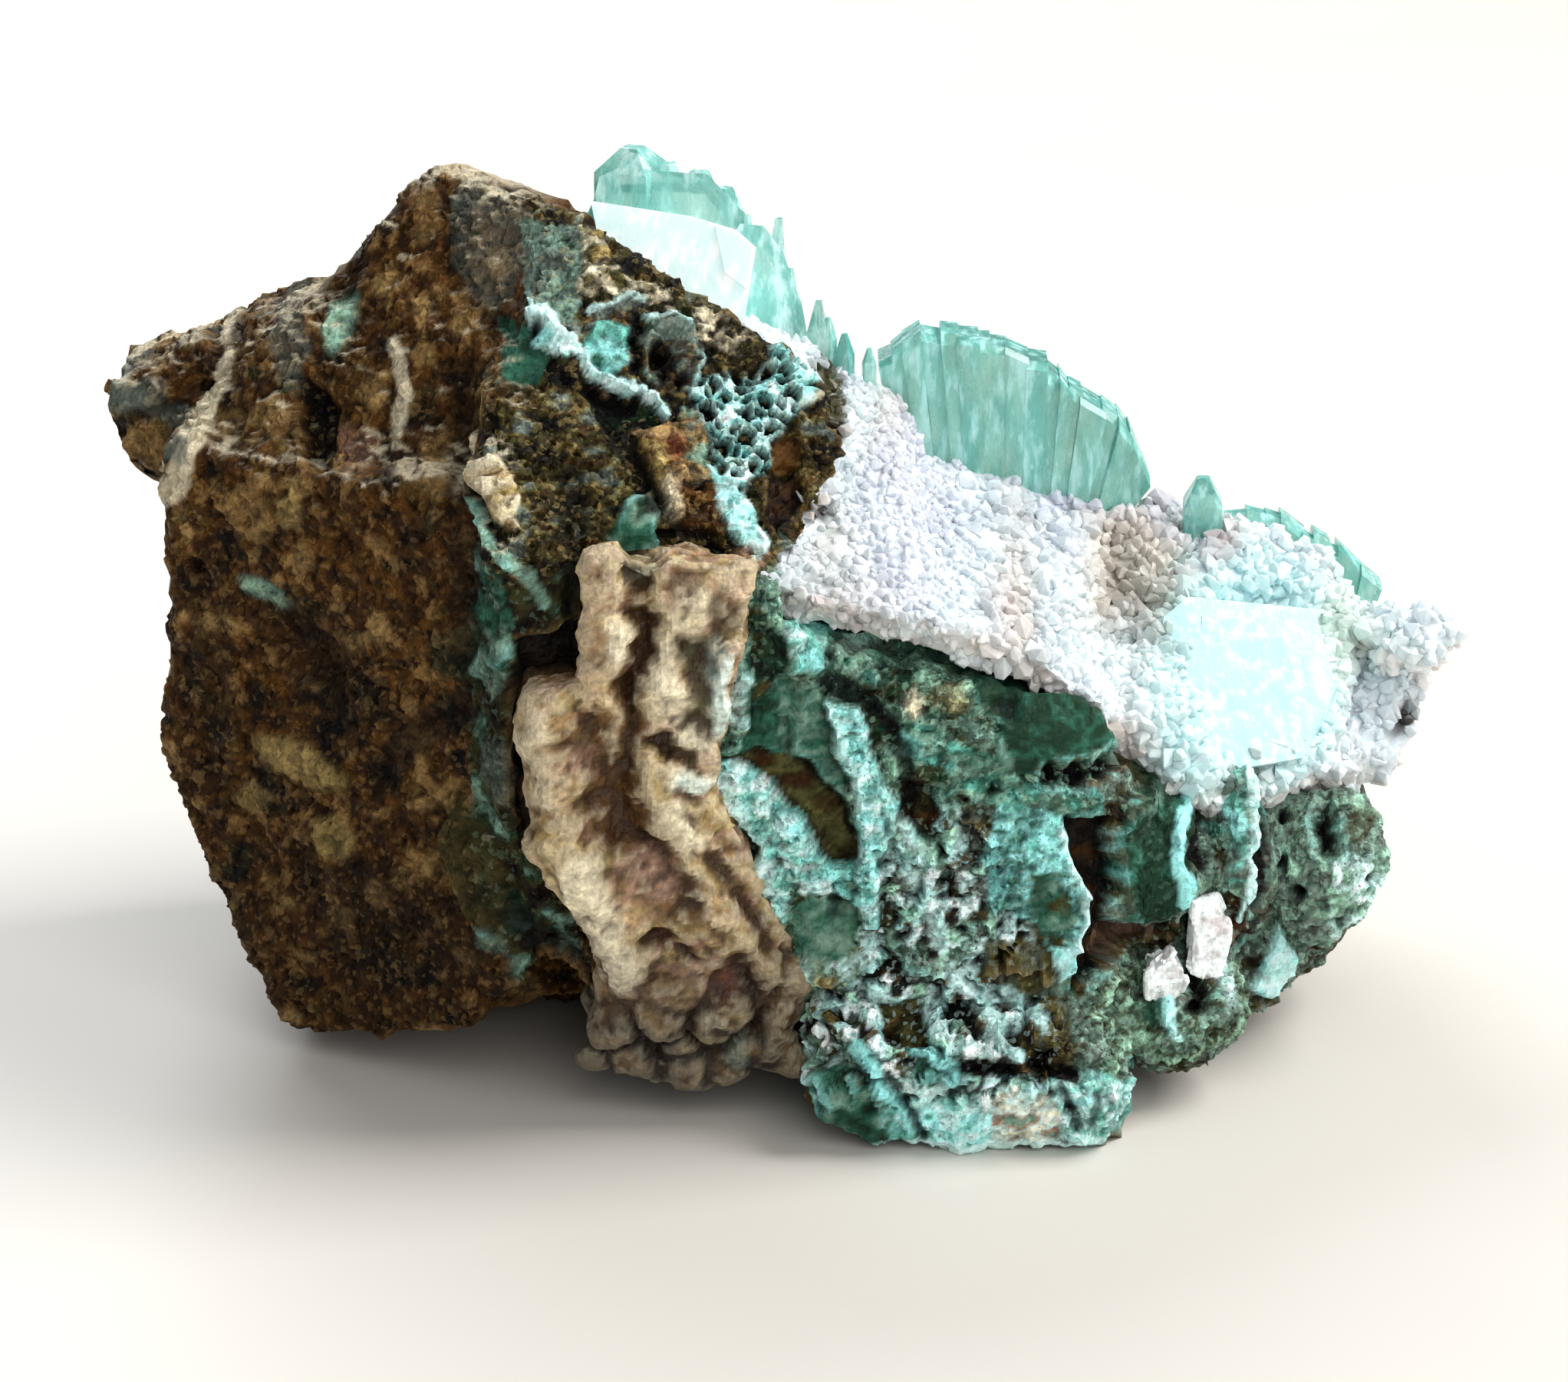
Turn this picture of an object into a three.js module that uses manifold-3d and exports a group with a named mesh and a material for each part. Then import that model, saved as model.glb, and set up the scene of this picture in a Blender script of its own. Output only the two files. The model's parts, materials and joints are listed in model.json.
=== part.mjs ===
// Apophyllite specimen: a broken lump of weathered basalt with a cream seam, a white drusy crust
// on its upper right side, and pale green apophyllite crystals standing in the crust.
// Millimetres, +Z up, the display side towards -Y. The origin is under the middle of the lump.

import * as THREE from "three";
import { ConvexGeometry } from "three/addons/geometries/ConvexGeometry.js";
import { mergeVertices } from "three/addons/utils/BufferGeometryUtils.js";
import Module from "manifold-3d";

const wasm = await Module();
wasm.setup();

// Driving dimensions.
const HALF_WIDTH = 45; // middle of the lump to the knob on the left, and to the knuckle on the right
const HALF_DEPTH = 26; // middle of the lump to the foot in front, and to the crust behind
const HEIGHT = 57; // level that the lump rests on to the top of the rind
const SEAT_GAP = 0.5; // clearance between two minerals that grew against each other
const BULGE_SHARE = 0.6; // width of a boulder's swollen middle against its outline
const CRUST_THICKNESS = 3.2; // drusy crust, measured down from its surface
const CRUST_TUCK = [0.985, 0.94]; // how far the crust's underside draws in, across and along
const CRUST_BACK = [0.92, 17, 9]; // how the crust runs down behind its crest: drawn in, back, down
const PRISM_GIRTH = 0.7; // corner radius of a four-sided prism against its width
const PRISM_TIP = 0.22; // corner radius of the prism's flat tip against its width
const PRISM_SHOULDER = 0.62; // height at which the prism starts to narrow, against its length

// ---- Solids ----

// The convex hull of corner points [x, y, z] as a solid.
function hull(corners) {
  const points = corners.map((corner) => new THREE.Vector3(...corner));
  const geometry = new ConvexGeometry(points);
  geometry.deleteAttribute("normal");
  const merged = mergeVertices(geometry, 1e-4);
  return new wasm.Manifold(
    new wasm.Mesh({
      numProp: 3,
      vertProperties: merged.attributes.position.array,
      triVerts: new Uint32Array(merged.index.array),
    }),
  );
}

// The same corners spread by the seat gap along each axis, to cut a neighbour's socket.
function grown(corners) {
  return corners.flatMap((corner) =>
    [0, 1, 2].flatMap((axis) =>
      [-SEAT_GAP, SEAT_GAP].map((step) => corner.map((value, i) => value + (i === axis ? step : 0))),
    ),
  );
}

// One solid from several blocks of corners.
function joined(blocks) {
  return blocks.map(hull).reduce((whole, block) => whole.add(block));
}

// A solid with a socket for each of its neighbours' blocks, without any crumbs that the cuts leave.
function seated(solid, neighbours) {
  const cut = neighbours.reduce((rest, block) => rest.subtract(hull(grown(block))), solid);
  return cut.decompose().reduce((a, b) => (a.volume() > b.volume() ? a : b));
}

// A named mesh from a solid.
function piece(name, solid, material) {
  const { numProp, vertProperties, triVerts } = solid.getMesh();
  const geometry = new THREE.BufferGeometry();
  const buffer = new THREE.InterleavedBuffer(vertProperties, numProp);
  geometry.setAttribute("position", new THREE.InterleavedBufferAttribute(buffer, 3, 0));
  geometry.setIndex(new THREE.BufferAttribute(triVerts, 1));
  const flat = geometry.toNonIndexed();
  flat.computeVertexNormals();
  const mesh = new THREE.Mesh(flat, material);
  mesh.name = name;
  return mesh;
}

// A boulder from its front outline of [x, z] corners. Its front face passes through y at the
// outline's middle, tipped back by lean and swung back on the right by turn, in mm per mm, and its
// middle swells forward by bulge. At the back the outline is drawn in by taper and lowered by droop.
function boulder(outline, { y, back, lean = 0, turn = 0, bulge = 0, taper = 0.85, droop = 0 }) {
  const middle = [0, 1].map((i) => outline.reduce((sum, corner) => sum + corner[i], 0) / outline.length);
  const ring = (share, depth) =>
    outline.map((corner) => {
      const [dx, dz] = corner.map((value, i) => (value - middle[i]) * share);
      return [middle[0] + dx, depth(dx, dz), middle[1] + dz];
    });
  const front = ring(1, (dx, dz) => y + turn * dx + lean * dz);
  const swell = ring(BULGE_SHARE, (dx, dz) => y - bulge + turn * dx + lean * dz);
  const rear = ring(taper, () => back).map(([x, depth, z]) => [x, depth, Math.max(0, z - droop)]);
  return [...front, ...(bulge ? swell : []), ...rear];
}

// A rounded lobe: the corners of a ball, stretched to its three half widths.
function lobe(middle, halves) {
  const { position } = new THREE.IcosahedronGeometry(1, 1).attributes;
  return Array.from({ length: position.count }, (_, i) =>
    [position.getX(i), position.getY(i), position.getZ(i)].map((v, axis) => middle[axis] + v * halves[axis]),
  );
}

// A four-sided prism with a blunt pyramid on its end, from its foot along a direction.
function prism(foot, direction, width, length, turn) {
  const axis = new THREE.Vector3(...direction).normalize();
  const tilt = new THREE.Quaternion().setFromUnitVectors(new THREE.Vector3(0, 0, 1), axis);
  const placed = (radius, height, angle) =>
    new THREE.Vector3(radius * Math.cos(angle), radius * Math.sin(angle), height)
      .applyQuaternion(tilt)
      .add(new THREE.Vector3(...foot))
      .toArray();
  return [0, 1, 2, 3].flatMap((side) => {
    const angle = turn + (side * Math.PI) / 2;
    return [
      placed(width * PRISM_GIRTH, 0, angle),
      placed(width * PRISM_GIRTH, length * PRISM_SHOULDER, angle),
      placed(width * PRISM_TIP, length, angle),
    ];
  });
}

// ---- Basalt lump ----

// Left-hand block, whose broad front is the weathered brown rind. Its upper part leans back.
const RIND_BLOCKS = [
  boulder([[-40, 40], [-41, 17], [-37, 9], [-33, 1], [-20, 5], [-15, 12], [-16, 41]], {
    y: -11, turn: -0.7, lean: 0.06, back: 19, taper: 0.9,
  }),
  boulder([[-39, 36], [-38, 42], [-30, 49.5], [-22.5, HEIGHT], [-14, 56], [-15, 40]], {
    y: -3, turn: -0.55, lean: 0.8, back: 18, taper: 0.85, droop: 4,
  }),
];

// Shoulder between the rind and the crust: the pitted grey and green face under the crown.
const SHOULDER_BLOCKS = [
  boulder([
    [-19, 38], [-19, 46], [-14, 55.5], [-9.5, 51.5], [-2, 48.5], [2, 46], [4, 42], [0, 36], [-10, 37],
  ], { y: -12.5, turn: 0.3, lean: 1, back: 19, droop: 4 }),
  boulder([[-18, 40], [0, 36], [0, 8], [-12, 8], [-18, 20]], { y: -21, turn: 0.05, back: 22 }),
];

// Body under the crust, with the green broken face in front.
const BODY_BLOCKS = [
  boulder([[-5, 35], [9, 33], [19, 28], [22, 22], [21, 5], [-4, 5]], {
    y: -19, lean: 0.1, bulge: 2, back: 12,
  }),
  boulder([[-24, 37], [4, 34], [24, 26], [38, 20], [36, 10], [28, 2], [-24, 4]], {
    y: -4, turn: 0.2, back: 24, taper: 0.85,
  }),
];

// Heel: the level broken face that the lump rests on, behind the foot.
const HEEL_BLOCK = boulder([[-31, 8], [-28, 0], [24, 0], [28, 8]], { y: -2, back: 18, taper: 1 });

// Foot: the fluted shelf that the lump stands on at the front.
const FOOT_BLOCK = boulder([[1, 3], [5, 1], [10, 0], [20, 0], [22, 4], [19, 8], [3, 8]], {
  y: -24.5, turn: -0.05, lean: 0.1, bulge: 1, back: -10, taper: 1,
});

// Right-hand body, which narrows and rises to the tail of the crust.
const TAIL_BLOCK = boulder([[20, 24], [30, 20], [39, 15], [39, 8], [36, 4], [29, 1], [21, 2]], {
  y: -9, turn: 0.75, back: 14, taper: 0.8,
});

// Rounded lobes that bulge from the face below the crust, on the right: the boss, the column,
// the pumice end and the low lump.
const LOBE_BLOCKS = [
  lobe([24, -15, 15.5], [3, 4, 4.5]),
  lobe([29.5, -11.5, 15], [1.8, 4, 6.5]),
  lobe([35.5, -6, 12.5], [4, 4.5, 6]),
  lobe([25, -15, 6], [5, 4.5, 4.5]),
];

// Turquoise splinter that points down at the right of the foot.
const SPLINTER_BLOCK = prism([33, -6, 10], [-0.15, -0.3, -1], 2.2, 8, 0.4);

// Grey knob on the far left, on the end of the shelf behind the rind.
const KNOB_BLOCK = boulder([[-HALF_WIDTH, 41], [-44, 35], [-40, 33], [-32, 38], [-30, 47], [-38, 44]], {
  y: 6, turn: -0.15, bulge: 0.5, back: 16,
});

const BASALT_BLOCKS = [
  ...RIND_BLOCKS,
  ...SHOULDER_BLOCKS,
  ...BODY_BLOCKS,
  HEEL_BLOCK,
  FOOT_BLOCK,
  TAIL_BLOCK,
  ...LOBE_BLOCKS,
  SPLINTER_BLOCK,
  KNOB_BLOCK,
];

// ---- Cream seam ----

// Three parts of one seam: its head under the shoulder, its left flank, and its knobbly foot.
const SEAM_BLOCKS = [
  boulder([[-12, 39], [-2, 38], [-5, 32], [-5, 24], [-12, 26]], { y: -23.2, lean: 0.1, back: -17 }),
  boulder([[-11, 31], [-16, 30], [-16, 24], [-15, 19], [-10, 11], [-4, 15], [-5, 27]], {
    y: -23.2, bulge: 1, back: -17,
  }),
  boulder([[-6, 27], [-4, 21], [0, 13], [1, 4], [-4, 3], [-13, 4], [-11, 12]], {
    y: -21.2, lean: -0.15, bulge: 1, back: -14,
  }),
];

// ---- Drusy crust ----

// The crust is one sheet between two lines of corners: its front lip, which runs from the crown,
// round the shoulder's hollow and along the green face to the tail, and its crest above.
const CRUST_LIP = [
  [-12, 10, 52], [-2, -4, 48], [4, -9, 43], [-1, -19, 36], [9, -20, 34], [16, -19, 31], [22, -16, 25],
  [26, -14, 21], [30, -11, 22], [37, -5, 18], [42, -1, 19],
];
const CRUST_CREST = [
  [-12, 12, 52], [-1, 6, 45], [4.5, 6, 42.5], [7, 6, 41.5], [10, 6.5, 36], [16, 8, 34.5], [22, 9, 33],
  [26, 9, 33], [31, 8, 29.5], [37, 7, 27], [43, 4, 25],
];

// Knuckle of crust that hangs off the tail.
const TAIL_KNUCKLE = lobe([HALF_WIDTH - 3.2, 2, 24.5], [3.2, 3, 3]);

// The corner behind a crest corner, down the back of the lump.
function behind([x, y, z]) {
  const [across, back, down] = CRUST_BACK;
  return [x * across, Math.min(HALF_DEPTH, y + back), z - down];
}

// A tile's surface corners, and the same corners sunk by the crust's thickness.
function slab(tile) {
  const [across, along] = CRUST_TUCK;
  return [...tile, ...tile.map(([x, y, z]) => [x * across, y * along, z - CRUST_THICKNESS])];
}

const CRUST_TILES = CRUST_CREST.slice(1).flatMap((_, i) => {
  const lip = CRUST_LIP.slice(i, i + 2);
  const crest = CRUST_CREST.slice(i, i + 2);
  return [slab([...lip, ...crest]), slab([...crest, ...crest.map(behind)])];
});

const CRUST_BLOCKS = [...CRUST_TILES, TAIL_KNUCKLE];

// ---- Apophyllite crystals ----

// Crown: a broad pale block in front of a green crest, grown into one another.
const CROWN_BLOCKS = [
  boulder([[-12.5, 55.5], [-6, 55], [-3, 54.3], [-1.8, 53.3], [-2.5, 49], [-6, 47], [-11, 49]], {
    y: -2, lean: 0.6, turn: -0.2, back: 11, droop: 5,
  }),
  boulder([[-12, 55], [-5, 55], [-2, 52], [-4, 46], [-11, 46]], { y: 9, lean: 0.1, back: 15, droop: 2 }),
  prism([-10, 12, 46], [0, 0, 1], 3, 10.5, 0.35),
  boulder([[-4, 51], [-1, 52], [1, 46], [2, 43], [-4, 43]], { y: 6, lean: 0.3, back: 11 }),
  prism([2, 7, 42], [0.04, 0, 1], 1.7, 4, 0.7),
];

// Fan: the largest crystal, a broad plate with a split upper edge and two side points.
const FAN_BLOCKS = [
  boulder([[7, 42], [9, 45], [14, 44], [18, 42], [22, 39], [24, 35], [22, 31], [9, 33]], {
    y: 8, back: 13, droop: 1,
  }),
  prism([8, 9, 38], [0, 0, 1], 2.6, 6, 0.5),
  prism([22, 9, 31], [0.15, 0, 1], 2.8, 7, 0.3),
];

// Single crystals along the crest.
const RIM_BLOCK = boulder([[30, 27], [30, 32], [34, 31.5], [38, 29.5], [40.5, 27], [39, 24]], {
  y: 9, back: 13, droop: 1,
});
const SHOULDER_CRYSTAL = prism([28, 7, 30], [0.06, 0, 1], 2.8, 4.7, 0.75);
const POINT_CRYSTALS = [
  prism([4, 6, 41], [0, 0, 1], 1.2, 4, 0.4),
  prism([5.6, 6, 41], [0.05, 0, 1], 1, 3, 0.9),
];

// Sunken crystal: a large pale block lying in the crust near its front edge.
const SUNKEN_BLOCK = boulder([[24, 26], [26, 30], [34, 28.5], [36, 25], [32, 22.5], [27, 22.5]], {
  y: -9, lean: 0.9, turn: 0.4, bulge: 1, back: 0, droop: 5,
});

// ---- Chips of milky chalcedony in the hollow between the lobes ----

const CHIP_BLOCKS = [
  boulder([[26, 14], [28, 14], [29, 11], [28, 8], [26, 9]], { y: -17, turn: 0.4, back: -14 }),
  boulder([[23, 10], [25, 11], [26, 9], [25, 7.5], [23, 8]], { y: -19.4, turn: 0.3, back: -16.5 }),
];

// ---- Materials ----

const basaltStone = new THREE.MeshStandardMaterial({ color: 0x5a4a38, roughness: 0.9, metalness: 0 });
const paleChalcedony = new THREE.MeshStandardMaterial({ color: 0xd6d3cc, roughness: 0.5, metalness: 0 });
const creamChalcedony = new THREE.MeshStandardMaterial({ color: 0xb39a78, roughness: 0.6, metalness: 0 });
const whiteDruse = new THREE.MeshStandardMaterial({ color: 0xe9edf0, roughness: 0.35, metalness: 0 });
const milkyApophyllite = new THREE.MeshStandardMaterial({ color: 0xc9eef0, roughness: 0.15, metalness: 0 });
const mintApophyllite = new THREE.MeshStandardMaterial({ color: 0x8fd0b4, roughness: 0.12, metalness: 0 });

// ---- Assembly ----

const specimen = new THREE.Group();

const crystals = [
  ["crown_crystals", CROWN_BLOCKS, mintApophyllite],
  ["fan_crystal", FAN_BLOCKS, mintApophyllite],
  ["rim_crystal", [RIM_BLOCK], mintApophyllite],
  ["shoulder_crystal", [SHOULDER_CRYSTAL], mintApophyllite],
  ...POINT_CRYSTALS.map((block, i) => [`point_crystal_${i + 1}`, [block], mintApophyllite]),
  ["sunken_crystal", [SUNKEN_BLOCK], milkyApophyllite],
];
const crystalBlocks = crystals.flatMap(([, blocks]) => blocks);

const basalt = seated(joined(BASALT_BLOCKS), [
  ...CRUST_BLOCKS,
  ...crystalBlocks,
  ...SEAM_BLOCKS,
  ...CHIP_BLOCKS,
]);
specimen.add(piece("basalt_matrix", basalt, basaltStone));
specimen.add(piece("cream_seam", joined(SEAM_BLOCKS), creamChalcedony));
specimen.add(piece("drusy_crust", seated(joined(CRUST_BLOCKS), crystalBlocks), whiteDruse));
crystals.forEach(([name, blocks, material]) => specimen.add(piece(name, joined(blocks), material)));
CHIP_BLOCKS.forEach((block, i) =>
  specimen.add(piece(`chalcedony_chip_${i + 1}`, hull(block), paleChalcedony)),
);

export default specimen;
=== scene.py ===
import json
import math
from itertools import product

import bmesh
import bpy
import numpy as np
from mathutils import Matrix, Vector
from mathutils.bvhtree import BVHTree

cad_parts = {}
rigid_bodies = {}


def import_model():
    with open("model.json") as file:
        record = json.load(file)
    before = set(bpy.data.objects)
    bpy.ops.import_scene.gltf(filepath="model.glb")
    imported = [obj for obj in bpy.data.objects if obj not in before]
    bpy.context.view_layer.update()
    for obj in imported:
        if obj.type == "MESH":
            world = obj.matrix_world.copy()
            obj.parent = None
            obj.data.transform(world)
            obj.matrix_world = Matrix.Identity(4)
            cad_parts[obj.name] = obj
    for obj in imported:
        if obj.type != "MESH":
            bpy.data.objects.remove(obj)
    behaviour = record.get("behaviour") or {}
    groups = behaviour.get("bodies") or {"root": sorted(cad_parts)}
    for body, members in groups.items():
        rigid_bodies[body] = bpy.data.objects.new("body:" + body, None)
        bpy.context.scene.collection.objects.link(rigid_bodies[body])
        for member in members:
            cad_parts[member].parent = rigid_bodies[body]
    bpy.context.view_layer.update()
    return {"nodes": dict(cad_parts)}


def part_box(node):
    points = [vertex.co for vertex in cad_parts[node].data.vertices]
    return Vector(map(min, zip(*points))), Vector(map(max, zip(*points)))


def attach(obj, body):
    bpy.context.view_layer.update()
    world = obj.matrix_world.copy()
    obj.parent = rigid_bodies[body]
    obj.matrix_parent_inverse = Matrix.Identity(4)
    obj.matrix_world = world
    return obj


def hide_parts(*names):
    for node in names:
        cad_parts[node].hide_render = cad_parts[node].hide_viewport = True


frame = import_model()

# ---- The viewing place ----
# A pale bench under soft studio light. A broad window light stands to the right and a little
# behind the stone, a weaker one behind it to the left, and the room fills the rest.
MM = 0.001
EYE_RISE = math.radians(20)  # the eye looks down by this much
EYE_DISTANCE = 350.0         # mm from the middle of the stone
EYE_LEVEL = 22.0             # mm above the bench, the height that the eye looks at
VIEW_WIDTH = 104.3           # mm of the bench seen across at that distance
SENSOR = 36.0
BENCH_WIDTH = 4.0            # m
ROOM_GLOW = 0.32             # how bright the room is round the bench
middle = np.array([0.0, 0.0, EYE_LEVEL])
to_eye = np.array([0.0, -math.cos(EYE_RISE), math.sin(EYE_RISE)])

camera = bpy.data.objects.new("camera", bpy.data.cameras.new("camera"))
camera.data.sensor_width = SENSOR
camera.data.lens = SENSOR * EYE_DISTANCE / VIEW_WIDTH
camera.data.clip_start = 0.01
camera.location = (middle + to_eye * EYE_DISTANCE) * MM
camera.rotation_euler = (math.pi / 2 - EYE_RISE, 0, 0)
bpy.context.scene.collection.objects.link(camera)
bpy.context.scene.camera = camera
bpy.context.scene.view_settings.view_transform = "Standard"


def window_light(name, place, size, watts, colour):
    """A square area light at a place in mm, turned towards the stone."""
    lamp = bpy.data.objects.new(name, bpy.data.lights.new(name, "AREA"))
    lamp.data.size = size
    lamp.data.energy = watts
    lamp.data.color = colour
    lamp.location = Vector(place) * MM
    lamp.rotation_euler = (Vector(middle) * MM - lamp.location).to_track_quat("-Z", "Y").to_euler()
    bpy.context.scene.collection.objects.link(lamp)


window_light("window", (400, 40, 470), 0.34, 3.9, (1.0, 0.99, 0.97))
window_light("rear window", (-200, 480, 400), 0.40, 2.9, (0.94, 0.98, 1.0))
window_light("room", (240, -540, 420), 0.60, 2.3, (1.0, 0.98, 0.95))
world = bpy.data.worlds.new("room")
world.use_nodes = True
world.node_tree.nodes["Background"].inputs["Color"].default_value = (0.82, 0.86, 0.90, 1)
world.node_tree.nodes["Background"].inputs["Strength"].default_value = ROOM_GLOW
bpy.context.scene.world = world


class Term:
    """A socket of a node tree. Sums on it add Math nodes, and node() adds any other node."""

    def __init__(self, tree, socket):
        self.tree, self.socket = tree, socket

    @staticmethod
    def node(tree, kind, settings, sockets, output=0):
        """Adds a node of a kind, with its settings and then its sockets' values or links."""
        made = tree.nodes.new(kind)
        for name, value in settings.items():
            setattr(made, name, value)
        for name, value in sockets.items():
            if isinstance(value, Term):
                tree.links.new(value.socket, made.inputs[name])
            else:
                made.inputs[name].default_value = value
        return Term(tree, made.outputs[output])

    def beside(self, output):
        """Another output of the node that this one comes from."""
        return Term(self.tree, self.socket.node.outputs[output])

    def maths(self, operation, first, second):
        """A Math node on two values."""
        return Term.node(self.tree, "ShaderNodeMath", {"operation": operation}, {0: first, 1: second})

    def __add__(self, other):
        return self.maths("ADD", self, other)

    def __radd__(self, other):
        return self.maths("ADD", other, self)

    def __sub__(self, other):
        return self.maths("SUBTRACT", self, other)

    def __rsub__(self, other):
        return self.maths("SUBTRACT", other, self)

    def __mul__(self, other):
        return self.maths("MULTIPLY", self, other)

    def __rmul__(self, other):
        return self.maths("MULTIPLY", other, self)


def between(term, low, high):
    """0 where the term is under low, 1 where it is over high, smooth between."""
    return Term.node(term.tree, "ShaderNodeMapRange", {"interpolation_type": "SMOOTHSTEP"},
                     {"Value": term, "From Min": low, "From Max": high}, "Result")


def mixed(factor, first, second):
    """Two colours mixed by a factor."""
    tree = next(t for t in (factor, first, second) if isinstance(t, Term)).tree
    return Term.node(tree, "ShaderNodeMix", {"data_type": "RGBA"}, {0: factor, 6: first, 7: second}, 2)


def scaled(vector, factor):
    """A place or a colour, made larger or smaller as a whole."""
    return Term.node(vector.tree, "ShaderNodeVectorMath", {"operation": "SCALE"},
                     {0: vector, "Scale": factor})


def tint(red, green, blue):
    """A colour named by its 0-255 levels as seen on a screen, as linear light."""
    return tuple(((np.array([red, green, blue]) / 255) ** 2.2).tolist()) + (1.0,)


def new_finish(name):
    """An empty material and its node tree."""
    material = bpy.data.materials.new(name)
    material.use_nodes = True
    material.node_tree.nodes.clear()
    return material, material.node_tree


def finish_with(tree, surface, volume=None):
    """Wires a shader to the material's output."""
    output = tree.nodes.new("ShaderNodeOutputMaterial")
    tree.links.new(surface.socket, output.inputs["Surface"])
    if volume:
        tree.links.new(volume.socket, output.inputs["Volume"])


def object_place(tree):
    """The place of a point on its piece, in mm."""
    return scaled(Term.node(tree, "ShaderNodeTexCoord", {}, {}, "Object"), 1 / MM)


def grain(place, size, detail=2.0, roughness=0.55, output="Fac"):
    """Noise in 0..1 whose lumps are size mm across."""
    return Term.node(place.tree, "ShaderNodeTexNoise", {},
                     {"Vector": place, "Scale": 1 / size, "Detail": detail, "Roughness": roughness}, output)


bench, tree = new_finish("pale bench")
bench_shade = mixed(grain(object_place(tree), 60.0), tint(214, 208, 200), tint(222, 217, 210))
finish_with(tree, Term.node(tree, "ShaderNodeBsdfPrincipled", {},
                            {"Base Color": bench_shade, "Roughness": 0.55}))
bpy.ops.mesh.primitive_plane_add(size=BENCH_WIDTH)
floor = bpy.context.object
floor.name = "bench"
floor.data.materials.append(bench)

# ---- The basalt lump ----
# One broken lump of vesicular basalt: a brown weathered rind on its left, and on its right an
# old gas cavity coated with blue-green celadonite in folds, hollows, lobes and a broken foot.
# It was split from the wall of the rock by hand and is otherwise as it grew.
COARSE_STEP = 1.02     # mm between points of the lump's mesh where the eye doesn't reach
ROUNDING = 3           # rounds of smoothing that take the saw marks off the blocks
SWELL = 0.25           # mm put back after the smoothing
HALVINGS = 2           # times that the mesh in sight of the eye is halved
FRONT_LEAST = 0.12     # how squarely a face has to look at the eye to get the finer mesh
COVER_DEPTH = 0.8      # mm off the lump's face, where the crust is looked for
FLOOR_GAP = 0.02       # mm that the lump's lowest points keep off the bench
ARC_STEPS = 9          # places along an arc
FAR = 9.0              # in cells, further than any neighbour
WELD = 0.001           # mm, corners of the CAD's triangles as near as this are one point
HASH = (374761393, 668265263, 2147483647, 1274126177)  # odd numbers that scatter a lattice


def lattice(x, y, z, seed):
    """A number in 0..1 for each lattice point, the same on every run."""
    mixed_bits = (x * HASH[0] + y * HASH[1] + z * HASH[2] + seed * HASH[3]) & 0xFFFFFFFF
    mixed_bits = ((mixed_bits ^ (mixed_bits >> 13)) * HASH[3]) & 0xFFFFFFFF
    return ((mixed_bits ^ (mixed_bits >> 16)) & 0xFFFFFF) / 0xFFFFFF


def step(values, low, high):
    """0 below low, 1 above high, smooth between."""
    part = np.clip((values - low) / (high - low), 0, 1)
    return part * part * (3 - 2 * part)


def rough(points, size, seed, octaves=1):
    """Smooth noise in -1..1 with lumps size mm across, and finer lumps for each more octave."""
    total, height = np.zeros(len(points)), 1.0
    for octave in range(octaves):
        in_cells = points / (size / 2 ** octave)
        cell = np.floor(in_cells).astype(np.int64)
        part = in_cells - cell
        part = part * part * (3 - 2 * part)
        for corner in product((0, 1), repeat=3):
            share = math.prod(part[:, k] if corner[k] else 1 - part[:, k] for k in range(3))
            total += height * share * (2 * lattice(*(cell + corner).T, seed + octave) - 1)
        height *= 0.5
    return total


def cells(points, size, seed):
    """For cells size mm across: how far off the nearest middle is, and the next, and the cell's own
    number. The distances are in shares of the size."""
    in_cells = points / size
    cell = np.floor(in_cells).astype(np.int64)
    near, following = np.full(len(points), FAR), np.full(len(points), FAR)
    own = np.zeros(len(points))
    for corner in product((-1, 0, 1), repeat=3):
        at = (cell + corner).T
        gap = np.sqrt(sum((at[k] + lattice(*at, seed + k) - in_cells[:, k]) ** 2 for k in range(3)))
        closer = gap < near
        following = np.where(closer, near, np.minimum(following, gap))
        own = np.where(closer, lattice(*at, seed + 3), own)
        near = np.where(closer, gap, near)
    return near, following, own


def shards(points, size, seed):
    """Broken rock of flat-faced shards size mm across: how far each point stands out, -1..1, and its
    shard's own number."""
    in_cells = points / size
    cell = np.floor(in_cells).astype(np.int64)
    near, level, own = np.full(len(points), FAR), np.zeros(len(points)), np.zeros(len(points))
    for corner in product((-1, 0, 1), repeat=3):
        at = (cell + corner).T
        away = in_cells - np.stack([at[k] + lattice(*at, seed + k) for k in range(3)], 1)
        slope = sum(away[:, k] * (2 * lattice(*at, seed + 5 + k) - 1) for k in range(3))
        gap = np.sqrt((away ** 2).sum(1))
        closer = gap < near
        number = lattice(*at, seed + 3)
        level = np.where(closer, number - 0.5 + slope, level)
        own = np.where(closer, number, own)
        near = np.where(closer, gap, near)
    return level, own


def waves(points, height, width, seed, octaves):
    """Relief of rounded waves, height mm high and width mm across, with finer ones on them."""
    return height * rough(points, width, seed, octaves)


def shifted(points, reach, size, seed, octaves=1):
    """Points led astray by up to reach mm, so that no cell has a straight side."""
    return points + reach * rough(points, size, seed, octaves)[:, None]


def swayed(points, size, reach, seed):
    """Points seen from the front, led astray by up to reach mm, so that no mark has a ruled edge."""
    astray = [rough(points, size, seed, 2), rough(points, size, seed + 7, 2)]
    return points[:, [0, 2]] + reach * np.stack(astray, 1)


def points_of(mesh):
    """The mesh's points in mm."""
    flat = np.empty(len(mesh.vertices) * 3, np.float32)
    mesh.vertices.foreach_get("co", flat)
    return flat.reshape(-1, 3).astype(float) / MM


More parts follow.
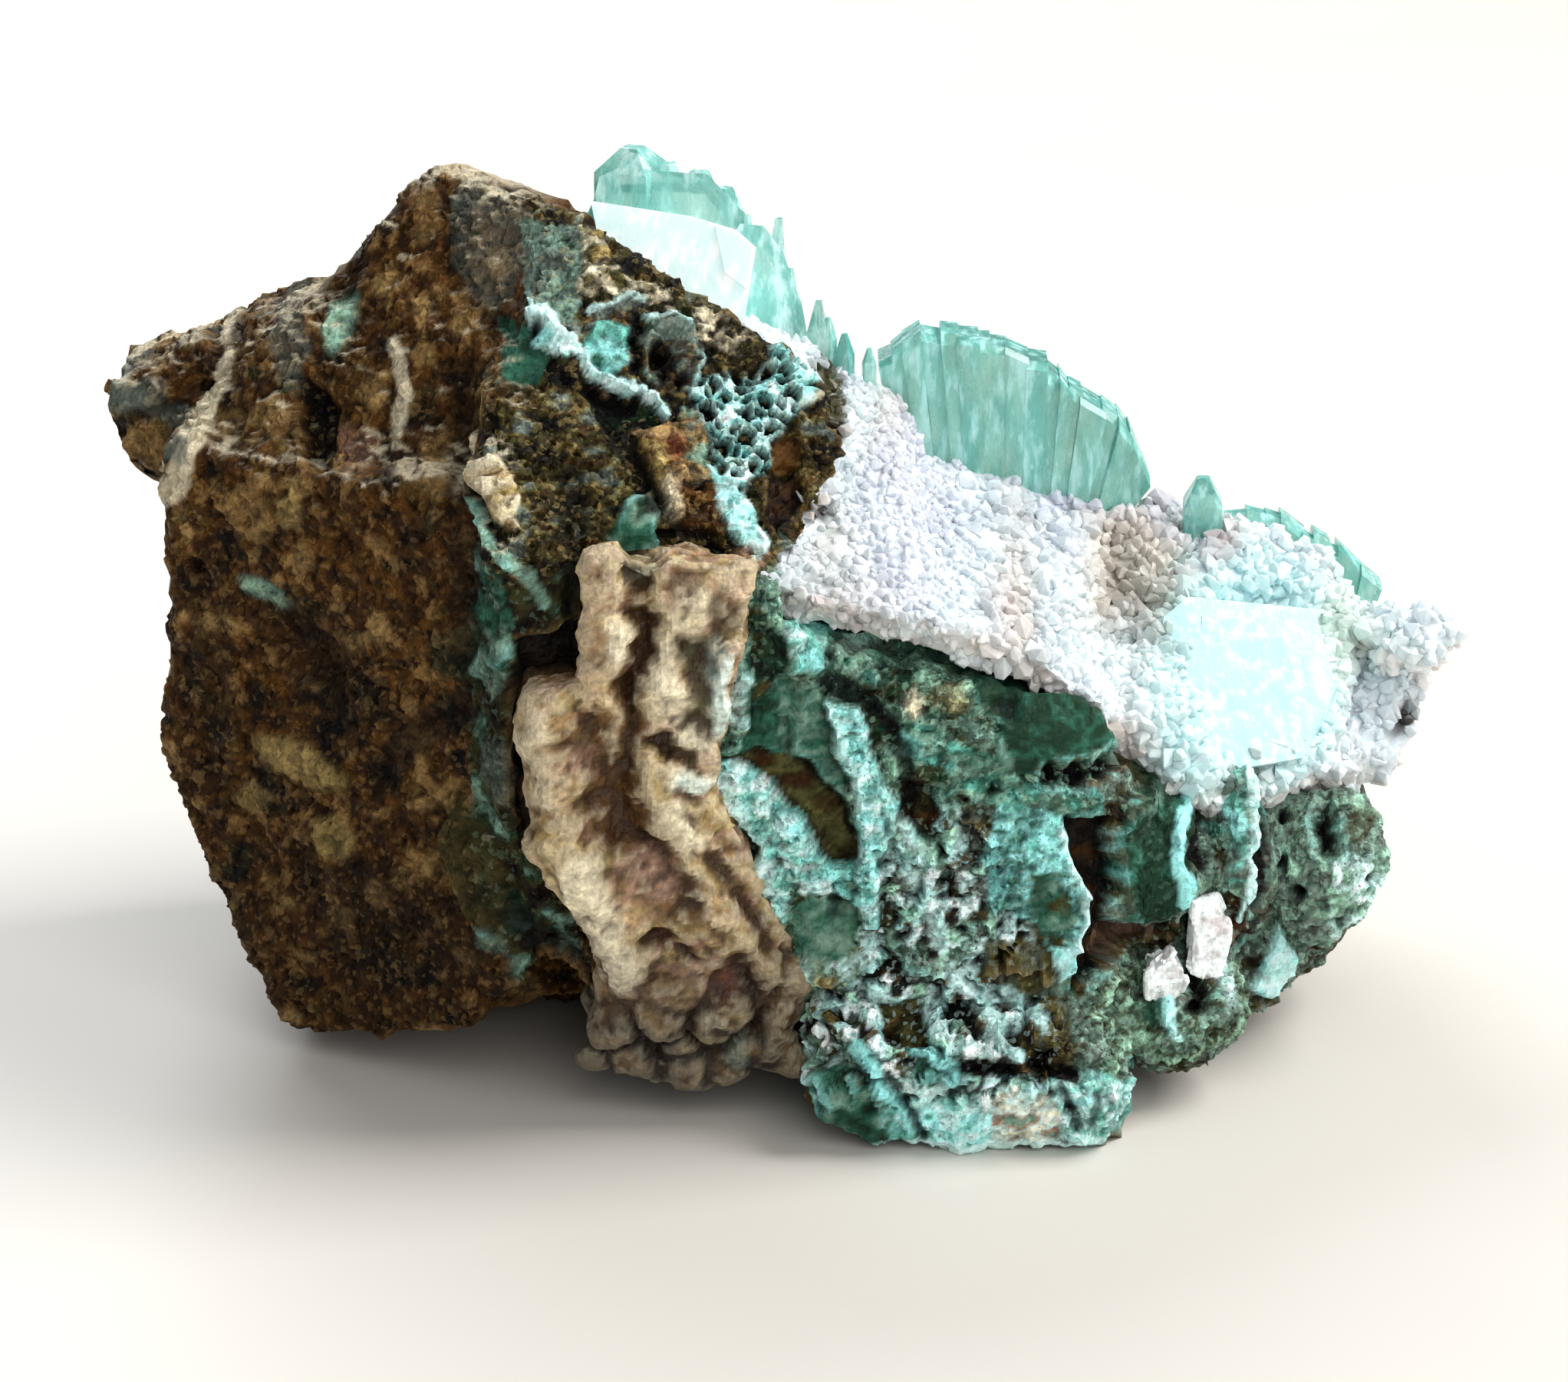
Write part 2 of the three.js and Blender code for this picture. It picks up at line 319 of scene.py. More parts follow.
def facing_of(mesh):
    """The mesh's outward directions, one for each point."""
    flat = np.empty(len(mesh.vertices) * 3, np.float32)
    mesh.vertex_normals.foreach_get("vector", flat)
    return flat.reshape(-1, 3).astype(float)


def move_to(mesh, points):
    """Puts the mesh's points at places in mm."""
    mesh.vertices.foreach_set("co", (points * MM).astype(np.float32).ravel())
    mesh.update()


def edges_of(mesh):
    """The mesh's edges, each as the numbers of its two points."""
    pairs = np.empty(len(mesh.edges) * 2, np.int32)
    mesh.edges.foreach_get("vertices", pairs)
    return pairs.reshape(-1, 2)


def relaxed(values, edges, rounds):
    """A number or a place for each point, drawn halfway to the mean of its neighbours' in each round."""
    count = np.maximum(np.bincount(edges.ravel(), minlength=len(values)), 1)
    columns = values.reshape(len(values), -1).T
    for _ in range(rounds):
        drawn = [np.bincount(edges[:, 0], column[edges[:, 1]], len(values))
                 + np.bincount(edges[:, 1], column[edges[:, 0]], len(values)) for column in columns]
        columns = [0.5 * column + 0.5 * sums / count for column, sums in zip(columns, drawn)]
    return np.stack(columns, 1).reshape(values.shape)


def worked(piece, kind, **settings):
    """Works the piece's mesh with one modifier and leaves it a plain mesh."""
    modifier = piece.modifiers.new(kind.lower(), kind)
    for name, value in settings.items():
        setattr(modifier, name, value)
    mesh = bpy.data.meshes.new_from_object(piece.evaluated_get(bpy.context.evaluated_depsgraph_get()))
    piece.modifiers.clear()
    piece.data = mesh


def copied(node, name):
    """A new piece with the shape of a CAD node, its loose triangles joined."""
    piece = bpy.data.objects.new(name, frame["nodes"][node].data.copy())
    piece.data.materials.clear()
    bpy.context.scene.collection.objects.link(piece)
    shape = bmesh.new()
    shape.from_mesh(piece.data)
    bmesh.ops.remove_doubles(shape, verts=shape.verts, dist=WELD * MM)
    shape.to_mesh(piece.data)
    shape.free()
    return piece


def eroded(node, name, step_mm, rounds, swell):
    """A copy of a CAD node with its block edges worn round, in an even mesh."""
    piece = copied(node, name)
    worked(piece, "REMESH", mode="VOXEL", voxel_size=step_mm * MM, adaptivity=0)
    points = relaxed(points_of(piece.data), edges_of(piece.data), rounds)
    move_to(piece.data, points)
    move_to(piece.data, points + swell * facing_of(piece.data))
    return piece


def off_line(front, line):
    """The distance of points, seen from the front, from a line through the given places."""
    best = np.full(len(front), np.inf)
    for start, end in zip(line[:-1], line[1:]):
        run = end - start
        along = np.clip((front - start) @ run / (run @ run), 0, 1)
        best = np.minimum(best, np.hypot(*(front - start - along[:, None] * run).T))
    return best


def near_arc(front, start, end, bow, half):
    """1 on an arc that bows out by bow mm to the left of its run, with straight sides that end at
    2 * half mm."""
    start, end = np.array(start, float), np.array(end, float)
    side = np.array([start[1] - end[1], end[0] - start[0]]) / np.hypot(*(end - start))
    along = np.linspace(0, 1, ARC_STEPS)[:, None]
    line = start + (end - start) * along + side * bow * 4 * along * (1 - along)
    return np.clip(1 - off_line(front, line) / (2 * half), 0, 1)


def in_oval(front, middle, halves, tilt, soft):
    """1 inside an oval turned anticlockwise by tilt degrees, 0 outside, soft at its edge."""
    dx, dz = (front - middle).T
    c, s = math.cos(math.radians(tilt)), math.sin(math.radians(tilt))
    reach = np.hypot((dx * c + dz * s) / halves[0], (dz * c - dx * s) / halves[1])
    return step((1 - reach) * min(halves), -soft, soft)


def within(front, outline, soft):
    """1 inside an outline, 0 outside, soft at its edge."""
    corners = np.array(outline, float)
    inside = np.zeros(len(front), bool)
    for (x0, z0), (x1, z1) in zip(corners, np.roll(corners, -1, 0)):
        if z0 != z1:
            inside ^= (front[:, 1] > min(z0, z1)) & (front[:, 1] <= max(z0, z1)) \
                & (front[:, 0] < x0 + (front[:, 1] - z0) * (x1 - x0) / (z1 - z0))
    edge = off_line(front, np.vstack([corners, corners[:1]]))
    return step(np.where(inside, edge, -edge), -soft, soft)


def laid(paint, share, colour):
    """Paint with a colour, or a colour for each point, laid over it in part."""
    return paint + share[:, None] * (np.asarray(colour)[..., :3] - paint)


def ridged(rise, front, share, ridges, worn=1.0):
    """The rise of each point with the ridges' own added, worn down to a part of it, where share is 1."""
    for _, _, half, lift, start, end, bow in ridges:
        rise = rise + share * worn * lift * near_arc(front, start, end, bow, half)
    return rise


def raised(rise, front, share, patches, soft):
    """The rise of each point with the patches' own added, where share is 1."""
    for _, _, lift, place, halves, tilt in patches:
        rise = rise + share * lift * in_oval(front, place, halves, tilt, soft)
    return rise


def ridge_shares(front, share, ridges, low, high):
    """For each ridge its colour, and how strongly it lies on each point. It starts at low, from 0 at the
    ridge's foot to 1 on its top, and is full at high."""
    for colour, strength, half, _, start, end, bow in ridges:
        yield colour, strength * share * step(near_arc(front, start, end, bow, half), low, high)


def patched(paint, front, share, patches, soft):
    """Paint with the patches' colours laid over it, where share is 1."""
    for colour, strength, _, place, halves, tilt in patches:
        paint = laid(paint, strength * share * in_oval(front, place, halves, tilt, soft), colour)
    return paint


def mottled(points, size, seed, colours):
    """Colours run together in patches of a size, the first where the noise is lowest."""
    where = np.clip(0.5 + 0.75 * rough(points, size, seed, 3), 0, 1) * (len(colours) - 1)
    return np.stack([np.interp(where, range(len(colours)), [c[k] for c in colours]) for k in range(3)], 1)


def picked(numbers, colours):
    """One of the colours for each number in 0..1."""
    return np.array(colours)[(numbers * (len(colours) - 0.01)).astype(int)]


def coated(mesh, name, colours, fourth=None):
    """Keeps a colour for each point of a mesh, with a fourth number beside it."""
    fourth = np.ones(len(colours)) if fourth is None else fourth
    layer = mesh.attributes.new(name, "FLOAT_COLOR", "POINT")
    layer.data.foreach_set("color", np.column_stack([colours, fourth]).astype(np.float32).ravel())


lump = eroded("basalt_matrix", "basalt_lump", COARSE_STEP, ROUNDING, SWELL)
covers = [BVHTree.FromObject(piece, bpy.context.evaluated_depsgraph_get())
          for piece in (frame["nodes"]["drusy_crust"], frame["nodes"]["cream_seam"], lump)]


def in_sight(face):
    """Whether a face looks at the eye and nothing lies before it."""
    start = face.calc_center_median() + face.normal * COVER_DEPTH * MM
    return face.normal.dot(Vector(to_eye)) > FRONT_LEAST \
        and not any(cover.ray_cast(start, Vector(to_eye))[0] for cover in covers)


for _ in range(HALVINGS):
    shape = bmesh.new()
    shape.from_mesh(lump.data)
    fine = {edge for face in shape.faces if in_sight(face) for edge in face.edges}
    bmesh.ops.subdivide_edges(shape, edges=list(fine), cuts=1, use_grid_fill=True)
    shape.to_mesh(lump.data)
    shape.free()

BLACK, SOOT, BARK, UMBER = tint(8, 7, 5), tint(28, 19, 8), tint(58, 36, 12), tint(94, 62, 24)
TAN, SAND, CREAM, ROSE = tint(154, 124, 78), tint(172, 150, 94), tint(234, 222, 190), tint(170, 132, 112)
CLAY, RUST, OLIVE, SLATE = tint(190, 156, 112), tint(112, 50, 28), tint(62, 60, 32), tint(102, 112, 104)
MOSS = tint(96, 92, 54)
SAGE, MINT, PINE, TEAL = tint(118, 150, 132), tint(166, 212, 186), tint(30, 58, 42), tint(50, 100, 82)
CELADON, AQUA, FROST = tint(108, 188, 172), tint(166, 246, 242), tint(218, 254, 250)

# Where each kind of wall lies on the front, in mm across and up: its colours, the width of their
# patches, how gritty it is, the colour of its specks, and its outline.
WALLS = {
    "rind": ([BLACK, SOOT, BARK, UMBER, BARK, UMBER, TAN], 2.6, 0.6, TAN,
             [(-50, 62), (-16, 62), (-16.5, 50), (-19, 46), (-20, 40), (-20, 22), (-17, 10), (-14, -5),
              (-50, -5)]),
    "shoulder": ([BLACK, SOOT, OLIVE, BARK, MOSS, SLATE], 1.5, 1.0, SAND,
                 [(-16, 62), (-16.5, 50), (-19, 46), (-20, 36), (-12, 38), (0, 35), (8, 50), (-4, 60)]),
    "strip": ([BLACK, SOOT, OLIVE, PINE, SAGE], 2.0, 0.6, SAGE,
              [(-20, 36), (-12, 38), (-12, 30), (-16, 30), (-16, 20), (-12, 11), (-17, 8), (-20, 22)]),
    "green": ([PINE, OLIVE, SAGE, TEAL, SAGE, MINT], 1.5, 1.0, MINT,
              [(-5, 37), (-5, 24), (-1, 9), (5, 10), (8, 19), (19, 19), (22, 28), (14, 36)]),
    "breccia": ([BLACK, OLIVE, SLATE, SOOT, SAGE, FROST], 1.4, 1.0, FROST,
                [(4.5, 20), (9, 19), (10, 22), (14, 20), (14, 17), (17, 10), (18, 4), (2, 3), (0, 8),
                 (5, 11)]),
    "lobes": ([SOOT, OLIVE, SLATE, SAGE, SLATE], 1.6, 0.9, MINT,
              [(18, 24), (42, 24), (42, -2), (21.5, -2), (21.5, 4), (18.5, 5)]),
    "foot": ([TEAL, CELADON, AQUA, FROST, AQUA], 1.3, 0.6, FROST,
             [(1, 5.5), (22, 5.5), (23, -2), (0, -2)]),
}
# The fields of this one lump, laid over its walls: colours, grit, rise and outline. Those mostly of black and
# soot, which lie back, are painted shade in clefts.
FIELDS = [
    # shoulder: grey knobs, a crumbly rim beside the crown, the net of thin walls, smooth green lobes
    ([SLATE, SAGE, SLATE], 0.8, 0.0, [(-17, 55), (-13, 55), (-13, 50.5), (-15, 49.5), (-16.5, 51)]),
    ([BLACK, OLIVE, CREAM, OLIVE, SAND], 1.0, 0.3,
     [(-13, 55), (-11.6, 54.5), (-10.8, 51.8), (-12, 50.4), (-13.2, 51.5)]),
    ([BLACK, OLIVE, SOOT, CREAM, OLIVE], 1.0, 0.4,
     [(-11.5, 53), (-9.5, 51.8), (-6, 50.4), (-2, 49), (1, 47.5), (0, 46.9), (-5, 48.6), (-9, 50.4),
      (-12, 51.5)]),
    ([SLATE, BARK, SLATE, SAGE], 0.9, 0.3,
     [(-9.2, 50), (-6, 49.4), (-5, 47.5), (-5.5, 46), (-8, 46.5), (-9.3, 48)]),
    ([PINE, TEAL, PINE], 0.3, -0.2,
     [(-18, 49.5), (-16.2, 50), (-14.6, 48.3), (-15.4, 47.2), (-17.6, 47.4)]),
    ([AQUA, FROST, CELADON], 0.6, 0.5, [(-16.4, 51.2), (-15, 51), (-13.4, 49.2), (-13.6, 48), (-15.6, 49)]),
    ([UMBER, BARK, SLATE], 0.9, 0.1,
     [(-12.6, 50.2), (-10.5, 51.2), (-8.6, 50.4), (-9.4, 49.2), (-11.6, 49.2)]),
    ([TEAL, AQUA, PINE], 0.5, -0.2, [(-12.6, 49), (-10.4, 49.2), (-9.6, 48), (-10.6, 47), (-12, 47.4)]),
    ([BLACK, PINE, OLIVE], 0.7, -0.5,
     [(-13.2, 46.6), (-11, 46.2), (-8.4, 46.1), (-7.7, 44.8), (-9.3, 44.3), (-11.4, 45)]),
    ([TAN, CLAY, UMBER, SAND], 0.8, 0.5,
     [(-9.4, 44.6), (-7.4, 45), (-6.2, 43.5), (-6, 41), (-6.7, 39.6), (-8.6, 42.6)]),
    ([SLATE, TAN, SAGE], 0.9, 0.1, [(-6.4, 45.4), (-5.2, 45), (-4.7, 42), (-5.8, 41.4)]),
    ([BARK, UMBER, SOOT], 0.8, 0.0, [(-6.4, 41.4), (-4.6, 41.6), (-3.6, 39), (-6.4, 38.2)]),
    ([FROST, AQUA, FROST], 0.5, 0.3, [(-4.8, 42.3), (-3.4, 42), (-0.8, 38), (-1.8, 37.2), (-3.6, 39.2)]),
    ([PINE, TEAL, SAGE, PINE], 0.2, 0.7,
     [(-11.2, 38.8), (-10, 40.6), (-8.3, 41.6), (-7.6, 40), (-8.2, 38.4), (-9.8, 37.6)]),
    ([SAND, CREAM, TAN], 0.6, 0.6,
     [(-19.6, 43.2), (-17.8, 43.6), (-16.6, 42), (-16.4, 40.2), (-18, 40.6), (-19.4, 41)]),
    ([BLACK, BARK, BLACK], 0.4, -1.0, [(-1, 41.6), (0.9, 41.8), (1.2, 40), (0, 38.4), (-1, 39.4)]),
    ([BARK, UMBER], 0.2, -0.6, [(-0.8, 43.2), (1, 43.6), (1.2, 41.8), (-0.6, 41.8)]),
    ([CREAM, FROST], 0.3, 0.3, [(0, 45.4), (1.2, 45.8), (2.2, 45), (1, 44.6)]),
    ([SLATE, AQUA, SLATE], 0.6, 0.2, [(-0.6, 47.6), (1.4, 47.4), (2, 46), (0.6, 45.9)]),
    # strip between the rind and the seam
    ([TEAL, PINE, SAGE], 0.5, 0.1, [(-19.6, 38.5), (-18, 38), (-16.8, 34), (-17.4, 30.5), (-19.4, 32)]),
    ([BLACK, SOOT], 0.3, -1.0, [(-17, 33), (-12, 34), (-12, 30.5), (-15.6, 29.8), (-15.8, 20), (-17, 22)]),
    # green face: white blade, dark slot, cyan knob, grey rubble
    ([FROST, SLATE, FROST, SAGE], 0.5, 0.5,
     [(-4.6, 34), (-2.8, 33), (-1.9, 30.5), (-2.4, 27), (-3.6, 27.2), (-4.1, 30)]),
    ([PINE, BLACK, PINE, OLIVE], 0.5, -0.3, [(-2.4, 34), (0, 33), (0, 30.4), (-1.9, 27.8), (-1.8, 31)]),
    ([AQUA, CELADON, FROST], 0.7, 0.6, [(-0.2, 33.8), (1.3, 33.6), (2.7, 31.8), (2.2, 30.2), (0.4, 30.4)]),
    ([SAGE, SLATE, MINT, TEAL], 1.0, 0.4, [(2.9, 31.8), (4.6, 33.8), (6.2, 32.6), (5.6, 29.6), (3.6, 30)]),
    ([SOOT, SLATE, BARK], 0.9, -0.4, [(1.6, 35), (3.6, 35), (4.6, 33.2), (2.8, 32.6)]),
    # smooth teal hollow over a dark olive one, between two bright ridges
    ([PINE, TEAL, PINE], 0.25, -0.5, [(-2.8, 25.2), (-2, 28), (-0.2, 30), (1, 29.8), (0.4, 25)]),
    ([TEAL, SAGE, TEAL, SAGE], 0.35, -0.3,
     [(-0.4, 30), (2.6, 29.2), (3.4, 26.4), (4.2, 23), (2.5, 23.6), (-0.2, 25.2)]),
    ([BARK, OLIVE, MOSS, OLIVE], 0.3, -0.7,
     [(-4.3, 25.2), (-1, 25.3), (1.5, 24.6), (3.2, 22.6), (5, 20), (4.7, 18.2), (3, 18.2), (0, 21.8),
      (-1.6, 23.3)]),
    ([AQUA, FROST, CELADON, AQUA, FROST], 0.9, 0.7,
     [(-4.6, 24.7), (-3.3, 25), (-0.8, 23.6), (0.9, 21.4), (2, 19.2), (0.8, 17.6), (0.2, 14), (-0.6, 12),
      (-1.2, 14), (-3.2, 19.6)]),
    ([FROST, AQUA, CELADON, FROST], 0.9, 0.5,
     [(1.6, 19.2), (3.4, 18.2), (4.9, 18.4), (5, 15.6), (3, 16.4), (1.2, 16.4), (0.6, 17.8)]),
    ([MINT, SAND, FROST, SAGE], 0.8, 0.2,
     [(-4.8, 21.5), (-3.6, 21.6), (-2.2, 17.5), (-1.4, 15), (-2.6, 16), (-4.6, 19.6)]),
    ([SLATE, BLACK, UMBER], 0.5, -0.8, [(-3, 21), (-2.1, 20.6), (-1.1, 17), (-1.3, 16), (-2, 17.2)]),
    ([AQUA, FROST, CELADON, AQUA, FROST], 0.9, 1.3,
     [(2.6, 29), (4.6, 28.4), (5.6, 25), (7.1, 22.2), (7, 20.2), (6, 17.6), (5.8, 14.4), (5, 14.4),
      (4.7, 18), (4.8, 21), (3.6, 24.8)]),
    ([FROST, SAGE, FROST], 0.7, 0.6, [(6.4, 22), (7.4, 21.4), (9.6, 18.4), (8.8, 17.8), (7, 19.6)]),
    ([SAGE, TEAL, SAGE], 0.3, 0.0,
     [(0.4, 14.8), (1.5, 16.3), (4.8, 15.4), (4.6, 13), (3, 11.6), (0.8, 12)]),
    ([FROST, SAGE, SAND], 0.8, 0.3,
     [(-0.8, 12.3), (0.8, 12), (3, 11.7), (5, 13), (5.2, 11.4), (3, 10), (-0.4, 10.2)]),
    ([OLIVE, SOOT, BARK, OLIVE], 0.5, -0.3,
     [(-5, 18.6), (-3.3, 17), (-1, 13.4), (-0.8, 11.8), (-2.6, 12.6), (-4.6, 14.4)]),
    ([AQUA, CELADON], 0.6, 0.4, [(7.3, 26.8), (10.4, 26), (8.4, 25), (7.2, 25.2)]),
    ([CELADON, SAGE, TEAL, CELADON], 0.7, 0.2,
     [(8, 27.6), (10, 26.6), (12.5, 25.2), (15, 23.8), (20, 22.4), (20, 20.8), (17, 20.6), (14, 21.8),
      (10, 24), (8, 25)]),
    ([OLIVE, SOOT, UMBER], 0.6, -0.8, [(7, 23.6), (9.2, 23), (10, 21), (9, 20), (7.6, 21)]),
    ([OLIVE, SLATE, MOSS], 0.9, -0.4, [(10.6, 22.6), (14, 21.6), (13.8, 19.6), (11.6, 19.4)]),
    # dark green patch, and the cyan wall that ends in a sharp white edge over the cleft
    ([PINE, PINE, TEAL, PINE], 0.15, 0.3,
     [(11.8, 31.2), (15, 31), (19, 29), (21.4, 26.4), (20.6, 24.9), (17.5, 24.9), (15, 24.2), (13, 24.8),
      (13.4, 27), (11.8, 28.6)]),
    ([CELADON, AQUA, TEAL, AQUA], 0.8, 0.4,
     [(13.6, 22), (17.4, 21.4), (17.9, 18.6), (18.8, 16.4), (18.3, 12.6), (16.8, 12.6), (15.6, 14.4),
      (13, 15.4), (12.6, 18.6)]),
    ([OLIVE, TEAL, SAGE], 0.4, -0.1, [(15.6, 17.8), (17.5, 17.4), (18, 14.6), (17.2, 12.4), (15.8, 14)]),
    ([BLACK, SOOT, BARK], 0.3, -1.6,
     [(17.8, 21.4), (20.4, 20.6), (21, 17), (20.6, 14), (22.8, 11.6), (20, 10.6), (18.4, 9.6), (18.7, 13),
      (19.3, 16.5), (18.2, 18.6)]),
    ([OLIVE, MOSS, SLATE, MOSS], 0.5, 0.1,
     [(12.6, 12.9), (15, 13.3), (17, 12), (16.9, 10.2), (15.4, 8.8), (13, 11)]),
    ([AQUA, FROST], 0.4, 0.6, [(17, 12.8), (18.3, 12.8), (18.4, 10.8), (17.4, 10.2), (16.8, 11.4)]),
    ([OLIVE, SOOT, MOSS, SLATE], 0.8, -0.4, [(15.4, 9.4), (18, 9.6), (18.6, 5), (15.6, 5.4), (14.8, 7.4)]),
    ([SOOT, OLIVE, MOSS], 0.7, -0.7, [(6, 8.8), (8.4, 9.4), (9.6, 7.4), (8, 6.6), (6.4, 7.2)]),
    # lobes: dark green boss, grey-green column, cyan splinter, low lump
    ([PINE, PINE, PINE, TEAL], 0.45, 0.9,
     [(21.6, 21.6), (24.8, 21.8), (26, 20.4), (26, 16.4), (25.3, 13.8), (23.4, 12.6), (21.4, 14),
      (20.8, 17), (21, 20)]),
    ([BLACK, SOOT], 0.2, -1.4,
     [(21, 13.4), (22.6, 12.4), (24.4, 12.8), (25, 11.6), (22.6, 10.9), (20.6, 11.2)]),
    ([SAGE, CELADON, SLATE, SAGE], 0.8, 0.3,
     [(26, 23), (29.6, 23), (30.2, 20), (30.1, 14), (29.4, 11.5), (28.9, 14), (28.4, 16.6), (27, 17.6),
      (26.4, 20)]),
    ([UMBER, BARK, ROSE], 0.6, -0.6, [(28.8, 14), (30, 13), (30, 8.8), (28.6, 8.4)]),
    ([SLATE, SAGE, SLATE, MINT], 0.8, 0.2,
     [(31.2, 19), (34.2, 19), (38.4, 18), (39.6, 13), (38.2, 8.6), (35, 7.2), (33.4, 8), (31, 12)]),
    ([SAGE, MINT, FROST, SAGE], 0.9, 0.2, [(36.2, 14.6), (39.6, 13.6), (39, 9.6), (36, 8.2), (35.4, 11.4)]),
    ([AQUA, FROST, AQUA], 0.3, 0.7,
     [(32.6, 9.2), (33.4, 7), (33.4, 4.8), (32, 3.6), (30.3, 4.6), (31.4, 6)]),
    ([SLATE, SAGE, OLIVE, MINT], 1.0, 0.2,
     [(19.4, 10.4), (22, 10.8), (26, 9.6), (29.6, 9.4), (30, 6.4), (29.4, 4.4), (25, 3.4), (21.8, 4),
      (19, 7)]),
    ([AQUA, FROST], 0.4, 0.6, [(23.2, 9.8), (24.4, 9.8), (25.1, 7.6), (25.4, 5.4), (24.3, 6.2)]),
    # foot: a green lobe, a fluted teal stretch, a pinkish white one, and a pale crumbled end
    ([PINE, TEAL, SAGE, TEAL], 0.35, 0.5,
     [(2, 4.8), (3.6, 5.8), (5.4, 5), (6.6, 2.6), (6.4, 0.4), (3.6, 0.6), (2.2, 2.4)]),
    ([FROST, CREAM, FROST, ROSE, SAGE], 0.5, 0.0, [(13.4, 4.6), (17, 4.4), (17.6, 0), (13, 0)]),
    ([AQUA, FROST, CELADON, FROST], 0.8, 0.4,
     [(16.6, 5.2), (19, 5.4), (22, 4.4), (21.4, 0.6), (17.6, 0.6), (17.2, 3)]),
    ([TEAL, PINE], 0.4, 0.2, [(8.3, 6.8), (9.8, 6.8), (10.4, 5.4), (9.2, 4.6), (8.2, 5.4)]),
]
